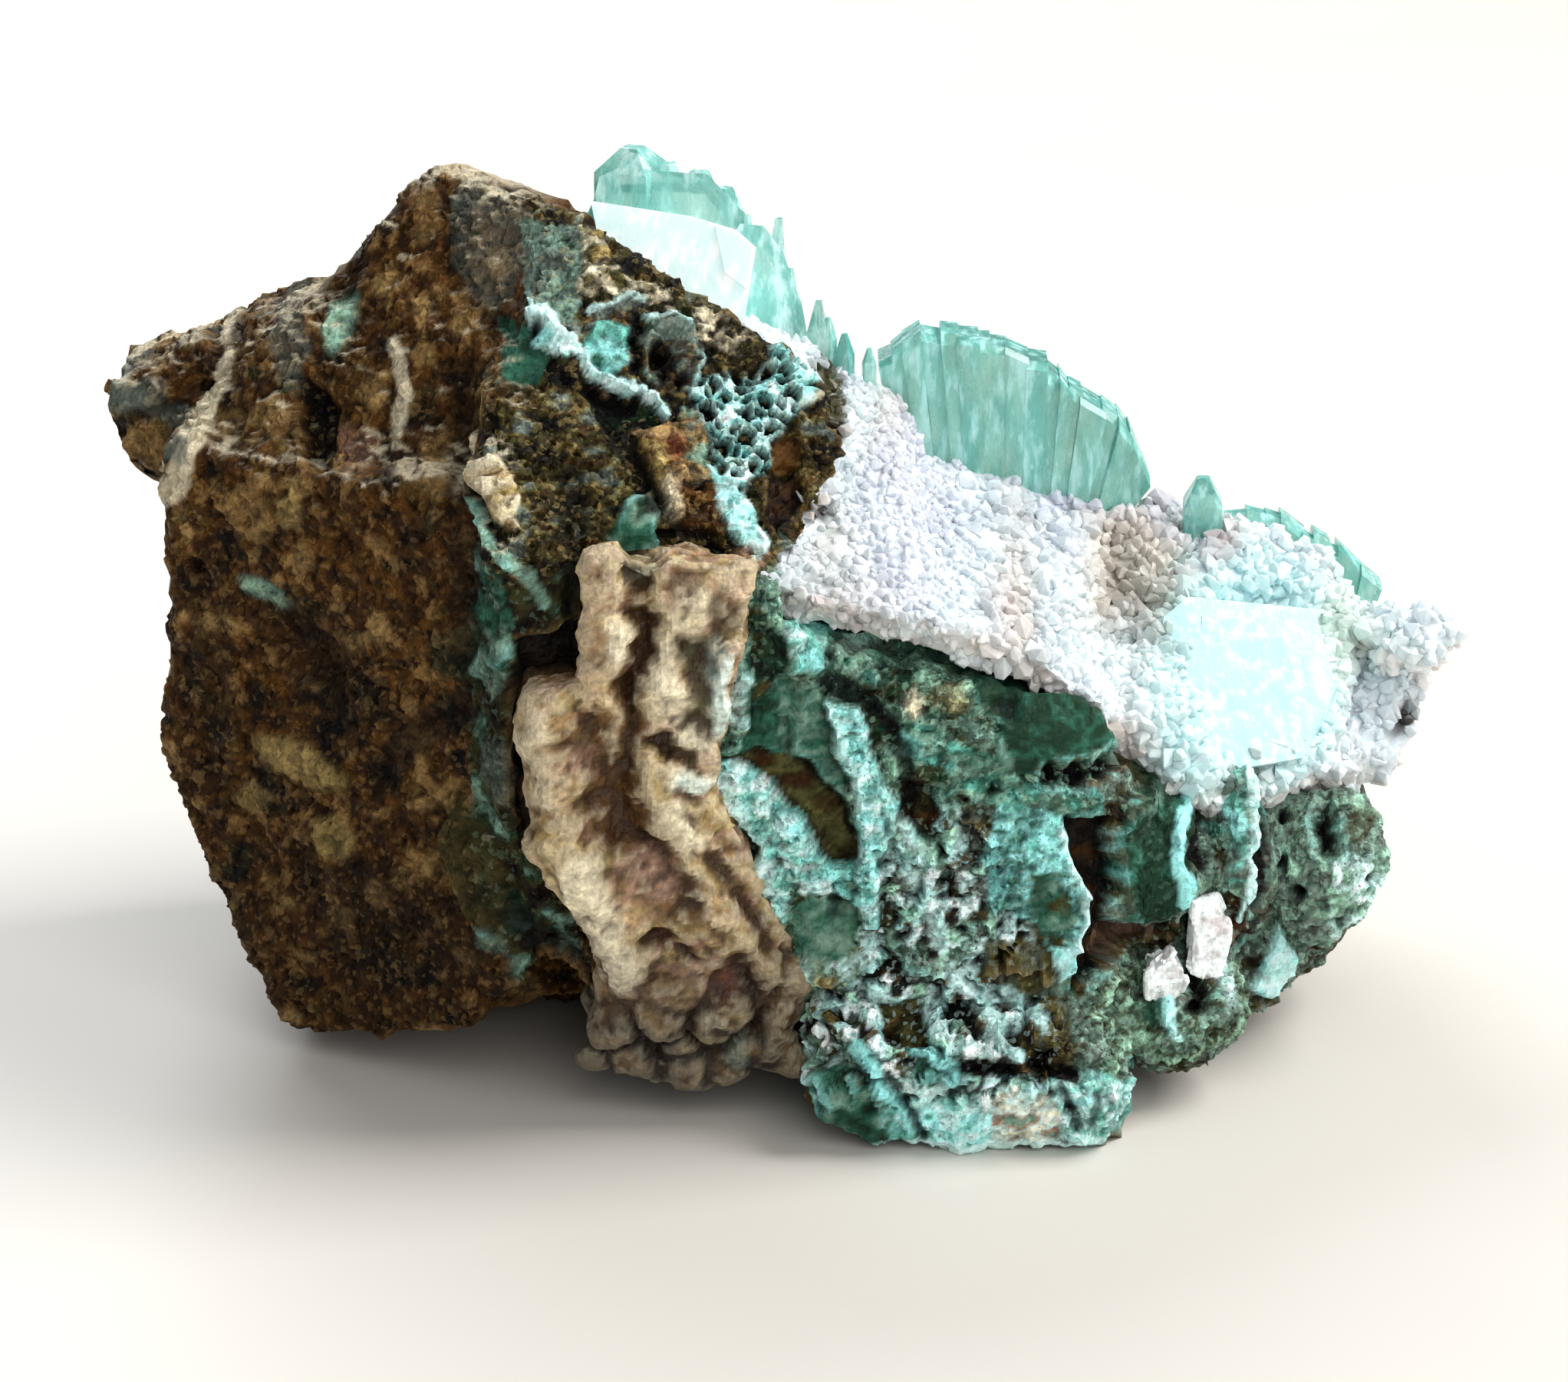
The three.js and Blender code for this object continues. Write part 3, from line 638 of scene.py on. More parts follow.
# Ridges and grooves: colour, how strongly it lies, half width, rise, start, end, bow. The black grooves are
# painted shade.
RIDGES = [
    # rind
    (CREAM, 0.6, 0.4, 0.4, (-25, 47), (-25, 42), 0.5), (CREAM, 0.7, 0.45, 0.4, (-37, 44), (-40.5, 36), 0.5),
    (BLACK, 0.7, 0.9, -1.0, (-26, 21), (-20.5, 27), 0.5), (BLACK, 0.5, 1.0, -0.8, (-32, 30), (-29, 24), 0.5),
    (BLACK, 0.6, 0.8, -0.8, (-20.5, 46), (-20.5, 30), 0.3),
    (BLACK, 0.6, 0.7, -0.9, (-31.5, 50), (-28, 51), -0.5),
    (SLATE, 0.6, 0.5, 0.4, (-44, 41), (-39, 39.5), -0.5),
    (BLACK, 0.5, 0.4, -0.4, (-44, 38.5), (-40, 40), 0.5),
    # shoulder
    (FROST, 1.0, 0.30, 0.7, (-15.6, 50.4), (-12, 47.4), 0.3),
    (FROST, 1.0, 0.25, 0.7, (-12, 47.4), (-9, 46.6), -0.3),
    (FROST, 1.0, 0.22, 0.6, (-9, 46.6), (-7.4, 45.1), 0.2),
    (BLACK, 1.0, 0.40, -0.9, (-12.2, 46.6), (-9.4, 46), -0.3),
    (CELADON, 0.9, 0.30, 0.4, (-12.4, 49.2), (-9.8, 49), 0.3),
    (BLACK, 1.0, 0.35, -0.8, (-9.7, 50), (-9.3, 47.4), 0.2),
    (BLACK, 1.0, 0.50, -1.0, (-7.8, 48.2), (-7, 46.4), 0.0),
    (SLATE, 0.8, 0.30, 0.4, (-8.8, 49), (-6, 48.6), 0.6),
    (FROST, 0.7, 0.13, 0.3, (-12.4, 50.4), (-9, 50.6), 0.4),
    (FROST, 0.7, 0.12, 0.3, (-9, 49.9), (-6, 49.2), 0.3),
    (FROST, 0.6, 0.12, 0.3, (-5.2, 47.8), (-5.6, 46), 0.2),
    (BLACK, 0.9, 0.60, -1.0, (-11, 44.8), (-8, 40.6), 0.3),
    (MINT, 0.8, 0.35, 0.5, (-19.6, 40.2), (-16.6, 38), 0.3),
    (SAGE, 0.8, 0.45, 0.5, (-16.8, 38.2), (-15, 35.6), 0.3),
    (BLACK, 0.9, 0.35, -0.7, (-19.2, 41.2), (-17.6, 39.6), 0.0),
    (BLACK, 0.8, 0.70, -0.9, (-13.2, 42), (-12.6, 34), 0.2),
    (BLACK, 0.9, 0.50, -0.7, (-7.2, 38.8), (-5, 38.6), 0.0),
    # strip between the rind and the seam
    (BLACK, 0.9, 0.9, -1.2, (-16.5, 30), (-16.2, 20), 0.2),
    (BLACK, 0.8, 1.0, -1.0, (-17, 14), (-12, 9), 0.0),
    # green face
    (BLACK, 0.9, 0.45, -0.8, (2.6, 29.7), (5.2, 28.8), 0.2),
    (BLACK, 0.9, 0.45, -0.8, (5.8, 28.4), (7.8, 22.4), 0.5),
    (BLACK, 0.8, 0.25, -0.4, (0.9, 24.9), (4.6, 20.4), 0.3),
    (FROST, 0.8, 0.30, 0.4, (-4.4, 24.6), (-0.6, 16.4), 0.4),
    (FROST, 0.7, 0.25, 0.3, (3, 28.4), (4.6, 22), 0.2), (SAGE, 0.5, 0.4, 0.5, (11, 27), (14, 25), 0.3),
    # right of the green face
    (FROST, 1.0, 0.24, 0.9, (17.3, 20.6), (18.8, 16.4), 0.2),
    (FROST, 1.0, 0.24, 0.8, (18.8, 16.4), (18.1, 12.6), 0.3),
    (FROST, 0.9, 0.40, 0.6, (11.7, 9.9), (15, 5.6), 0.3),
    (FROST, 0.9, 0.40, 0.5, (12.2, 9.9), (16.2, 8.2), 0.4),
    (FROST, 0.8, 0.40, 0.5, (7.6, 18), (9.8, 13), 0.3),
    (BLACK, 1.0, 0.45, -1.0, (10.8, 5.8), (18.6, 5.3), 0.3),
    # lobes: the pale lines down the right sides of the boss and of the column are painted highlight
    (AQUA, 1.0, 0.26, 0.6, (25.4, 21.6), (25.4, 14.2), -0.6),
    (BLACK, 1.0, 0.40, -1.0, (26.3, 20.8), (26.6, 16), -0.3),
    (FROST, 0.9, 0.20, 0.6, (29.8, 21.6), (30, 16.4), 0.0),
    (FROST, 0.9, 0.20, 0.6, (30, 16.4), (29.4, 11.6), 0.2),
    (BLACK, 1.0, 0.50, -1.3, (30.8, 21), (30.7, 13), 0.2),
    (AQUA, 0.8, 0.35, 0.4, (27.6, 19.8), (29.2, 18), 0.2),
    (BLACK, 0.8, 0.30, -0.6, (30.6, 13), (30, 9), 0.2),
    # foot
    (AQUA, 1.0, 0.45, 0.8, (4.6, 6.8), (6.4, 4.4), 0.2), (AQUA, 1.0, 0.45, 0.7, (6.4, 4.4), (8.4, 1.6), 0.2),
    (AQUA, 0.9, 0.35, 0.6, (8, 7), (10.8, 5), 0.8), (FROST, 0.9, 0.35, 0.3, (2.4, 0.6), (12, 0.3), 0.0),
    (FROST, 0.9, 0.35, 0.3, (12, 0.3), (20, 0.6), 0.0), (BLACK, 0.9, 0.30, -0.6, (7.6, 3.6), (9, 1), 0.0),
    (BLACK, 0.8, 0.30, -0.6, (17.4, 4.6), (18.6, 2), 0.0),
    (BLACK, 0.7, 0.25, -0.4, (19.8, 4.2), (19.4, 2.4), 0.0),
]
# Patches: colour, how strongly it lies, rise, middle, half widths, tilt. The black ones, which lie back, are
# painted shade in holes and hollows.
PATCHES = [
    # rind
    (MINT, 0.8, 0.3, (-29, 48), (0.9, 1.8), -15), (MINT, 0.8, 0.2, (-33.5, 31.5), (1.4, 0.6), -15),
    (BLACK, 0.9, -1.6, (-30.2, 42.5), (1.1, 2), 10), (TAN, 0.6, 0.5, (-33, 42), (1, 1.2), 0),
    (TAN, 0.45, 0.3, (-34.5, 36.5), (2, 1.8), 0), (SAND, 0.5, 0.3, (-31.5, 37.5), (0.8, 1.4), 0),
    (TAN, 0.4, 0.4, (-22, 41.5), (1.2, 1.5), 0), (ROSE, 0.25, 0.3, (-27.5, 41.5), (1.4, 1), 0),
    (SOOT, 0.6, -0.3, (-30, 28.5), (5, 2.6), -35), (SOOT, 0.5, 0.0, (-25, 11), (6, 4), 0),
    (SOOT, 0.5, 0.0, (-37.5, 25), (1.6, 8), 0), (BARK, 0.7, -0.5, (-31, 28), (3, 2), -20),
    (SAND, 0.6, 0.3, (-31.5, 20.5), (3, 1.4), -15),
    (SAND, 0.5, 0.2, (-29, 16), (1.4, 1.4), 0), (SAND, 0.4, 0.2, (-35, 17), (1.2, 1), 0),
    (OLIVE, 0.8, 0.9, (-19.5, 16.5), (1.7, 4.5), 15), (SAGE, 0.6, 0.2, (-18.8, 12), (1, 0.9), 0),
    (PINE, 0.5, 0.2, (-21, 30), (1.7, 1.5), 0), (BLACK, 0.5, -0.6, (-36.5, 43), (1.5, 3), 15),
    (SLATE, 0.5, 0.2, (-32, 46), (1.2, 2.2), 0), (SLATE, 0.6, 0.2, (-43, 40.5), (2.2, 1.2), 20),
    (TAN, 0.6, 0.8, (-42, 37), (1.8, 1.8), 0), (SLATE, 0.4, 0.0, (-19, 54), (2.5, 4), 0),
    # shoulder and strip
    (RUST, 0.9, 0.0, (-6.8, 43.2), (0.7, 0.7), 0), (CREAM, 0.8, 0.2, (-7.1, 40.8), (0.5, 1), 10),
    (BARK, 0.9, -1.2, (-2, 46.8), (1.3, 0.6), 22), (BLACK, 0.9, -0.4, (-3, 46.5), (0.6, 0.4), 20),
    (ROSE, 0.5, 0.2, (-2.2, 37.2), (1.2, 0.7), 20), (SAGE, 0.6, 0.3, (-18.6, 30), (0.9, 1.5), -20),
    (SLATE, 0.5, 0.3, (-18, 24), (1.2, 2), 0), (BLACK, 0.6, -0.6, (-13.5, 12), (2, 2.2), -40),
    # green face and what is right of it
    (BLACK, 0.9, -0.5, (-0.3, 18.4), (0.35, 0.4), 0), (PINE, 0.9, -0.4, (4.4, 16.8), (0.5, 0.35), 10),
    (BARK, 0.8, -0.5, (8, 32.3), (2, 1.0), 0), (SAND, 0.6, 0.2, (10.4, 28.6), (1.2, 0.8), -20),
    (BLACK, 0.8, -0.6, (13.8, 28), (0.9, 0.6), -30), (CREAM, 0.8, 0.3, (8.2, 28.4), (0.6, 0.7), 0),
    # lobes
    (ROSE, 0.6, 0.0, (22.4, 11.8), (1.8, 0.8), 0), (BLACK, 1.0, -1.8, (35.3, 15.6), (0.65, 1.4), 0),
    (OLIVE, 0.8, 0.2, (37.4, 15.8), (0.9, 1), 0),
    (BLACK, 1.0, -1.4, (26.6, 8), (0.8, 1.2), 0), (FROST, 0.9, 0.3, (28.4, 8), (0.4, 0.9), 0),
    (TEAL, 0.8, 0.0, (23.8, 7), (0.8, 0.8), 0), (SAGE, 0.7, 0.3, (23.4, 20.4), (1.4, 0.8), 0),
]
# Pits: depth, radius, middle. Each is a round black patch that lies back: painted shade in the pit.
PITS = [(BLACK, 1.0, -depth, place, (radius, radius), 0) for depth, radius, place in (
    (1.2, 0.5, (-8.1, 48)), (1.0, 0.4, (-6.2, 46.6)), (1.2, 0.6, (-19, 41)), (1.0, 0.4, (-15.5, 49.7)),
    (1.4, 0.8, (16.7, 24)), (1.4, 0.9, (18.5, 23.7)), (1.2, 0.8, (20.3, 23.8)), (0.7, 0.3, (13.2, 23)),
    (0.9, 0.4, (32.6, 13.4)), (1.1, 0.5, (33.5, 11.8)), (0.8, 0.3, (38.2, 12.4)), (0.8, 0.4, (36.6, 9.8)),
    (0.8, 0.3, (32.8, 16.4)), (0.9, 0.5, (16.4, 7)), (0.8, 0.4, (14.4, 7.6)), (0.9, 0.5, (7.5, 13.6)),
    (0.7, 0.3, (17.8, 3.4)), (0.8, 0.4, (11.2, 14)), (0.8, 0.4, (12.4, 11.6)), (0.7, 0.3, (10, 16.4)),
)]
# The outline of the net of thin walls beside the crown.
NET = [(-5.6, 46.4), (-3.4, 46.6), (-0.6, 47.4), (1.6, 47), (1.8, 45.2), (0.4, 44.4), (-0.8, 43.2),
       (-1.2, 41.6), (-3, 41), (-4.3, 42.4), (-4.8, 44.5)]
NET_SIZE, NET_EDGE = 1.05, 0.4      # mm across, the holes between the thin walls; its edge's softness
NET_WALL, NET_HOLE = 0.35, 0.8      # mm that the thin walls stand out and the holes lie back
FIELD_EDGE, WALL_EDGE = 0.28, 0.5   # mm, how soft the edges of the fields and of the walls are
RIDGES_LEFT = 0.7                   # share of a ridge's rise that wear has left
PATCH_SOFT, PIT_SOFT, PAINT_SOFT = 0.4, 0.35, 0.3  # mm, how soft the marks' edges are, and their paint's
MARK_SWAY = (1.6, 0.32, 11)         # mm across, mm to the side and seed of how the marks are led astray
FORWARD, AWAY = (0.0, 0.3), (0.0, 0.12)  # how squarely a face looks at the eye, or off it: from, to
CAVITY_EDGE = (-14, 2)              # mm across, from where to where the rind gives way to the cavity
# Waves of the rock: mm high, mm across, seed and octaves.
WAVE, RIPPLE, SKIN = (0.40, 7, 1, 2), (0.26, 3, 2, 3), (0.06, 0.6, 81, 2)
WORN_WAVE, FLUTE = (1.0, 11, 141, 3), (0.35, 1.4, 71, 2)
CLUMP, CLUMP_RISE = 2.4, 0.35       # mm across and mm high, clumps of rock
WORN_LUMP, WORN_RISE = 7, 1.5       # the same, lumps of the worn faces at the back and sides
PEBBLE, PEBBLE_RISE = 0.85, 0.34    # the same, grit
BLOCK, BLOCK_RISE = 1.7, 0.95       # the same, the breccia's fragments
DENT, DENT_DEPTH = 3.2, 0.8         # mm across and mm deep, dents
CRACK, CRACK_DEPTH = 1.1, 0.18      # mm between cracks and mm deep

# Relief, worked outward from the worn blocks: first what each kind of wall is like all over, then
# the fields and marks of this one lump, then its grit.
points, out = points_of(lump.data), facing_of(lump.data)
astray = swayed(points, *MARK_SWAY)
forward, turned_away = step(out @ to_eye, *FORWARD), step(-(out @ to_eye), *AWAY)
wall = {name: within(astray, outline, WALL_EDGE) * forward for name, (*_, outline) in WALLS.items()}
field = [within(astray, outline, FIELD_EDGE) * forward for *_, outline in FIELDS]
cavity = step(points[:, 0] + 6 * rough(points, 12, 105), *CAVITY_EDGE)
grit = 0.7 - 0.1 * cavity
for name, (_, _, gritty, _, _) in WALLS.items():
    grit += wall[name] * (gritty - grit)
for (_, gritty, _, _), share in zip(FIELDS, field):
    grit += share * (gritty - grit)
rugged = 1 - 0.75 * step(0.35 - grit, 0, 0.2)
net = within(astray, NET, NET_EDGE) * forward
hole_near, hole_next, hole_own = cells(shifted(points, 0.25, 1, 5), NET_SIZE, 65)
net_wall = 1 - step(hole_next - hole_near, 0.10, 0.30)
pebble_level, pebble = shards(shifted(points, 0.3, 0.8, 33, 2), PEBBLE, 31)
block_level, block_own = shards(shifted(points, 0.3, 1.2, 5), BLOCK, 21)
clump = cells(shifted(points, 0.4, 2, 7), CLUMP, 37)[2]
crack = 1 - step(np.abs(rough(points, CRACK, 35, 2)), 0.02, 0.16)
broad = waves(points, *WAVE) + rugged * (waves(points, *RIPPLE) + CLUMP_RISE * (clump - 0.5))
broad -= DENT_DEPTH * rugged * step(rough(points, DENT, 43, 2), 0.75, 1.1)
broad += turned_away * (waves(points, *WORN_WAVE) + WORN_RISE * (0.45 - cells(points, WORN_LUMP, 143)[0]))
broad += wall["breccia"] * (BLOCK_RISE * block_level)
broad += wall["foot"] * waves(points * (1, 1, 0.2), *FLUTE)
for (_, _, lift, _), share in zip(FIELDS, field):
    broad += lift * share
broad = ridged(broad, astray, forward, RIDGES, RIDGES_LEFT)
broad = raised(broad, astray, forward, PATCHES, PATCH_SOFT)
broad = raised(broad, astray, forward, PITS, PIT_SOFT)
broad += net * (NET_WALL * net_wall - NET_HOLE * (1 - net_wall))
rise = broad + grit * (PEBBLE_RISE * pebble_level - CRACK_DEPTH * crack) * (1 - 0.7 * net)
rise += waves(points, *SKIN)
relief = points + out * rise[:, None]
relief[:, 2] = np.maximum(relief[:, 2], FLOOR_GAP)
move_to(lump.data, relief)

# Paint, laid on point by point: each wall's own colours, the fields and marks, pebble by pebble, then
# painted shade in the hollows, a painted highlight on what stands out, and a painted highlight on top.
BREAKS = [BLACK, SOOT, OLIVE, SAGE, SLATE, FROST, MINT, FROST, FROST]
RIND_BITS = [BLACK, SOOT, BARK, BARK, UMBER, BARK, UMBER, TAN, OLIVE]
FIELD_PATCH = 1.3                  # mm across, the patches of a field's colours
RIDGE_FOOT, RIDGE_TOP = 0.25, 0.55 # up a ridge's side, where its colour starts and is full
PEBBLE_DARK, PEBBLE_RANGE = 0.58, 1.1  # how much darker the darkest pebble is, and from it to the palest
HOLLOW_ROUNDS = 9                  # rounds of smoothing, how far about a hollow is looked for
# How strongly each lies: fragments, pebbles of the rind, painted highlight on edges, painted shade in hollows
# and cracks, painted highlight on top.
BREAKS_SHARE, BITS_SHARE, GREEN_EDGE_HIGHLIGHT, BROWN_EDGE_HIGHLIGHT = 0.9, 0.35, 0.30, 0.25
HOLLOW_SHADE, CRACK_SHADE, TOP_HIGHLIGHT = 0.65, 0.6, 0.55
LOW_SHADE, LOW_FROM, LOW_HEIGHT = 0.35, 30, 24  # the rind darkens by a share, from mm up, over mm down
rind_colours, rind_size, _, rind_speck, _ = WALLS["rind"]
paint = laid(mottled(points, rind_size, 101, rind_colours), cavity,
             mottled(points, 3.0, 103, [SOOT, OLIVE, BARK, SAGE, TEAL]))
specks = np.tile(rind_speck[:3], (len(points), 1))
for number, (name, (colours, size, _, speck, _)) in enumerate(WALLS.items()):
    paint = laid(paint, wall[name], mottled(points, size, 107 + 2 * number, colours))
    specks = laid(specks, wall[name], speck)
breaks = picked(np.where(pebble > 0.5, 2 * pebble - 1, block_own), BREAKS)
paint = laid(paint, BREAKS_SHARE * wall["breccia"], breaks)
paint = laid(paint, BITS_SHARE * wall["rind"], picked(pebble, RIND_BITS))
for number, ((colours, *_), share) in enumerate(zip(FIELDS, field)):
    paint = laid(paint, step(share, 0.25, 0.65), mottled(points, FIELD_PATCH, 131 + number, colours))
paint = patched(paint, astray, forward, PATCHES, PAINT_SOFT)
for colour, share in ridge_shares(astray, forward, RIDGES, RIDGE_FOOT, RIDGE_TOP):
    paint = laid(paint, share, colour)
    grit *= 1 - 0.5 * share
paint = patched(paint, astray, forward, PITS, PAINT_SOFT)
# The net's thin walls are pale; its holes are teal with black at their middles, painted shade down in them.
net_colour = np.where((hole_own > 0.6)[:, None], AQUA[:3], FROST[:3])
paint = laid(paint, net, laid(laid(net_colour, 1 - net_wall, TEAL), 1 - step(net_wall, 0.0, 0.5), BLACK))
paint *= (1 + grit * (PEBBLE_RANGE * pebble - PEBBLE_DARK))[:, None]
# Black laid in the cracks: painted shade.
paint = laid(paint, CRACK_SHADE * grit * crack, BLACK)
hollow = relaxed(broad, edges_of(lump.data), HOLLOW_ROUNDS) - broad
# Where the relief stands out, aqua on green rock and tan on brown: a painted highlight.
edge = step(-hollow, 0.05, 0.25)
green = step(paint[:, 1] - paint[:, 0], 0.0, 0.08)
paint = laid(paint, GREEN_EDGE_HIGHLIGHT * edge * green, AQUA)
paint = laid(paint, BROWN_EDGE_HIGHLIGHT * edge * (1 - green), TAN)
# Black laid in the hollows: painted shade.
paint = laid(paint, HOLLOW_SHADE * step(hollow, 0.05, 0.30), BLACK)
paint *= (1 - LOW_SHADE * (wall["rind"] * step(LOW_FROM - points[:, 2], 0, LOW_HEIGHT)))[:, None]
up = facing_of(lump.data)[:, 2]
# Cream laid on the upward faces of the rind's left part: a painted highlight where light from above and
# behind falls.
lit_top = step(up, 0.72, 0.95) * step(-14 - points[:, 0], 0, 4) * step(rough(points, 2, 121, 2), -0.4, 0.3)
paint = laid(paint, TOP_HIGHLIGHT * lit_top, CREAM)
coated(lump.data, "paint", np.clip(paint, 0, 1))
coated(lump.data, "speck", specks, np.clip(grit, 0, 1))


def laid_on(tree, name, output="Color"):
    """What was laid on the piece's points under a name: its colour, or the number beside it."""
    return Term.node(tree, "ShaderNodeAttribute", {"attribute_name": name}, {}, output)


def granules(place, size):
    """For granules size mm across: a number of each one's own, and the distance from its middle."""
    drawn = Term.node(place.tree, "ShaderNodeTexVoronoi", {"feature": "F1"},
                      {"Vector": place, "Scale": 1 / size}, "Color")
    own = Term.node(place.tree, "ShaderNodeSeparateColor", {}, {"Color": drawn}, "Red")
    return own, drawn.beside("Distance")


def bumped(height, strength, reach):
    """The way that a surface faces, led astray by a height that stands reach mm off it."""
    return Term.node(height.tree, "ShaderNodeBump", {},
                     {"Strength": strength, "Distance": reach * MM, "Height": height}, "Normal")


GRANULE, SMALL_GRANULE, PORE = 0.34, 0.17, 0.34  # mm across
BASALT_BUMP = (0.8, 0.22)                  # its strength, and mm high
basalt, tree = new_finish("weathered basalt")
place = object_place(tree)
gritty = laid_on(tree, "speck", "Alpha")
warp = scaled(grain(place, 0.5, output="Color"), 0.35)
warped = Term.node(tree, "ShaderNodeVectorMath", {"operation": "ADD"}, {0: place, 1: warp})
own, away = granules(warped, GRANULE)
small_own, _ = granules(warped, SMALL_GRANULE)
tone = own * 0.8 + small_own * 0.5 + 0.37
base = scaled(laid_on(tree, "paint"), (tone - 1.0) * (gritty * 0.85 + 0.15) + 1.0)
pale = between(own, 0.84, 0.88) * between(gritty, 0.3, 0.8)
base = mixed(pale * 0.28, base, laid_on(tree, "speck"))
pores = between(grain(place, PORE), 0.38, 0.30) * (gritty * 0.7 + 0.3)
base = mixed(pores * 0.75, base, tint(14, 11, 9))
bump = bumped(own * gritty * 0.6 - away * gritty * 0.5 + small_own * 0.15 + grain(place, 0.5, 3.0, 0.6) * 0.6,
              *BASALT_BUMP)
finish_with(tree, Term.node(tree, "ShaderNodeBsdfPrincipled", {}, {
    "Base Color": base, "Roughness": 0.85 - own * 0.35, "Specular IOR Level": 0.16, "Normal": bump}))
lump.data.materials.append(basalt)
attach(lump, "root")
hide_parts("basalt_matrix")

# ---- The cream seam ----
# A vein of cream chalcedony that filled a crack down the front of the lump. It stands out as two
# rounded banks with a brown trough between them, and runs down into a bunch of small bulbs.
SEAM_STEP, SEAM_ROUNDING, SEAM_SWELL = 0.32, 5, 0.45
SEAM_SWAY = (1.8, 0.45, 201)          # mm across, mm to the side and seed of how the marks are led astray
BULB_SIZE, BULB_RISE = 2.9, 1.7       # mm across, and mm that a bulb stands out
BULB_FOOT, BULB_SINK = 0.72, 0.8      # a bulb's radius in shares of its size, and mm that all lie back
BUNCH_TOP, BUNCH_BLEND = 13.0, 3      # mm up, where the banks give way to the bulbs, and mm over which
# Waves of the banks: mm high, mm across, seed and octaves.
SEAM_WAVE, SEAM_RIPPLE, SEAM_KNOB = (0.35, 4, 221, 2), (0.3, 2, 223, 2), (0.14, 1.3, 231, 2)
SEAM_LUMP, SEAM_CHIP, CHIP_RELIEF = 1.1, 0.9, 0.14  # mm across, lumps and chips of the banks; mm high
SEAM_SOFT = 0.4                       # mm, how soft the patches' edges are
SEAM_FOOT, SEAM_FULL = 0.1, 0.7       # up a ridge's side, where its colour starts and is full
SEAM_GRIT = 0.7                       # mm across, its grains, each of its own shade
SEAM_ROUNDS = 8                       # rounds of smoothing, how far about a hollow is looked for
# How strongly each lies: painted shade between the bulbs and in the hollows, and a painted cream highlight on
# what stands out.
BULB_GAP_SHADE, SEAM_HOLLOW_SHADE, SEAM_EDGE_HIGHLIGHT = 0.9, 0.75, 0.35
GRIT_DARK, GRIT_RANGE = 0.68, 0.56    # the shade of the darkest grain, and from it to the palest
SEAM_SHADE, SHADE_FROM, SHADE_HEIGHT = 0.55, 18, 12  # it darkens by a share, from mm up, over mm down
# Colour, how strongly it lies, half width, rise, start, end, bow. The brown grooves that lie back are brown
# stain in the trough and painted shade.
SEAM_RIDGES = [
    (CLAY, 0.6, 1.0, 0.7, (-11.2, 37), (-11, 29), 0.2),
    (CREAM, 0.8, 0.6, 0.3, (-10.2, 34.6), (-10.4, 32.6), 0.0),
    (CREAM, 0.6, 1.0, 0.8, (-5.4, 36.5), (-8, 30.6), -0.4),
    (CREAM, 0.8, 0.7, 0.4, (-7.6, 31.4), (-6.6, 29.4), 0.0),
    (SAND, 0.5, 1.0, 0.8, (-8.8, 29.6), (-8.6, 24.6), 0.3),
    (SAND, 0.6, 1.0, 0.9, (-8.6, 24.6), (-5.4, 17.6), -0.3),
    (CREAM, 0.8, 0.8, 0.4, (-6.8, 22.8), (-5.6, 20.6), 0.0),
    (TAN, 0.6, 1.2, 0.9, (-15, 28.6), (-14.2, 21), 0.3),
    (CREAM, 0.5, 0.6, 0.3, (-15.2, 28.6), (-15, 24), 0.0),
    (SAND, 0.6, 1.2, 0.9, (-14.2, 21), (-12.6, 17), 0.0),
    (CREAM, 0.9, 1.0, 0.8, (-12.6, 19), (-10.2, 11), 0.3), (TAN, 0.6, 0.8, 0.6, (-5, 15.6), (0.4, 9.6), 0.3),
    (TAN, 0.6, 0.7, 0.6, (-1.2, 9), (0.8, 4.2), 0.2), (BARK, 1.0, 0.7, -1.4, (-8.4, 35), (-9.4, 30.6), 0.3),
    (BARK, 0.9, 0.5, -1.1, (-9.6, 30.8), (-9.7, 25), 0.1),
    (UMBER, 0.9, 1.3, -1.1, (-12, 28), (-10.4, 22), 0.0),
    (UMBER, 0.9, 1.5, -1.1, (-10, 24), (-6.4, 16.6), -0.3),
    (BARK, 0.8, 0.5, -0.6, (-8.6, 21), (-5.6, 16.6), 0.0),
    (BARK, 0.8, 0.5, -0.6, (-4.4, 19), (-1, 13), 0.3), (BARK, 0.9, 0.5, -0.9, (-3, 12.5), (-2, 7), 0.4),
    (SOOT, 0.8, 0.3, -0.6, (-8.6, 13.6), (-5.4, 12.6), 0.4),
    (OLIVE, 1.0, 0.7, -0.6, (-5.6, 33.6), (-5.2, 28), 0.2),
    (SLATE, 1.0, 0.6, 0.3, (-4.2, 33.6), (-4, 29), -0.3),
    (FROST, 0.9, 0.4, 0.4, (-3.6, 32), (-3.6, 27.6), -0.3),
]
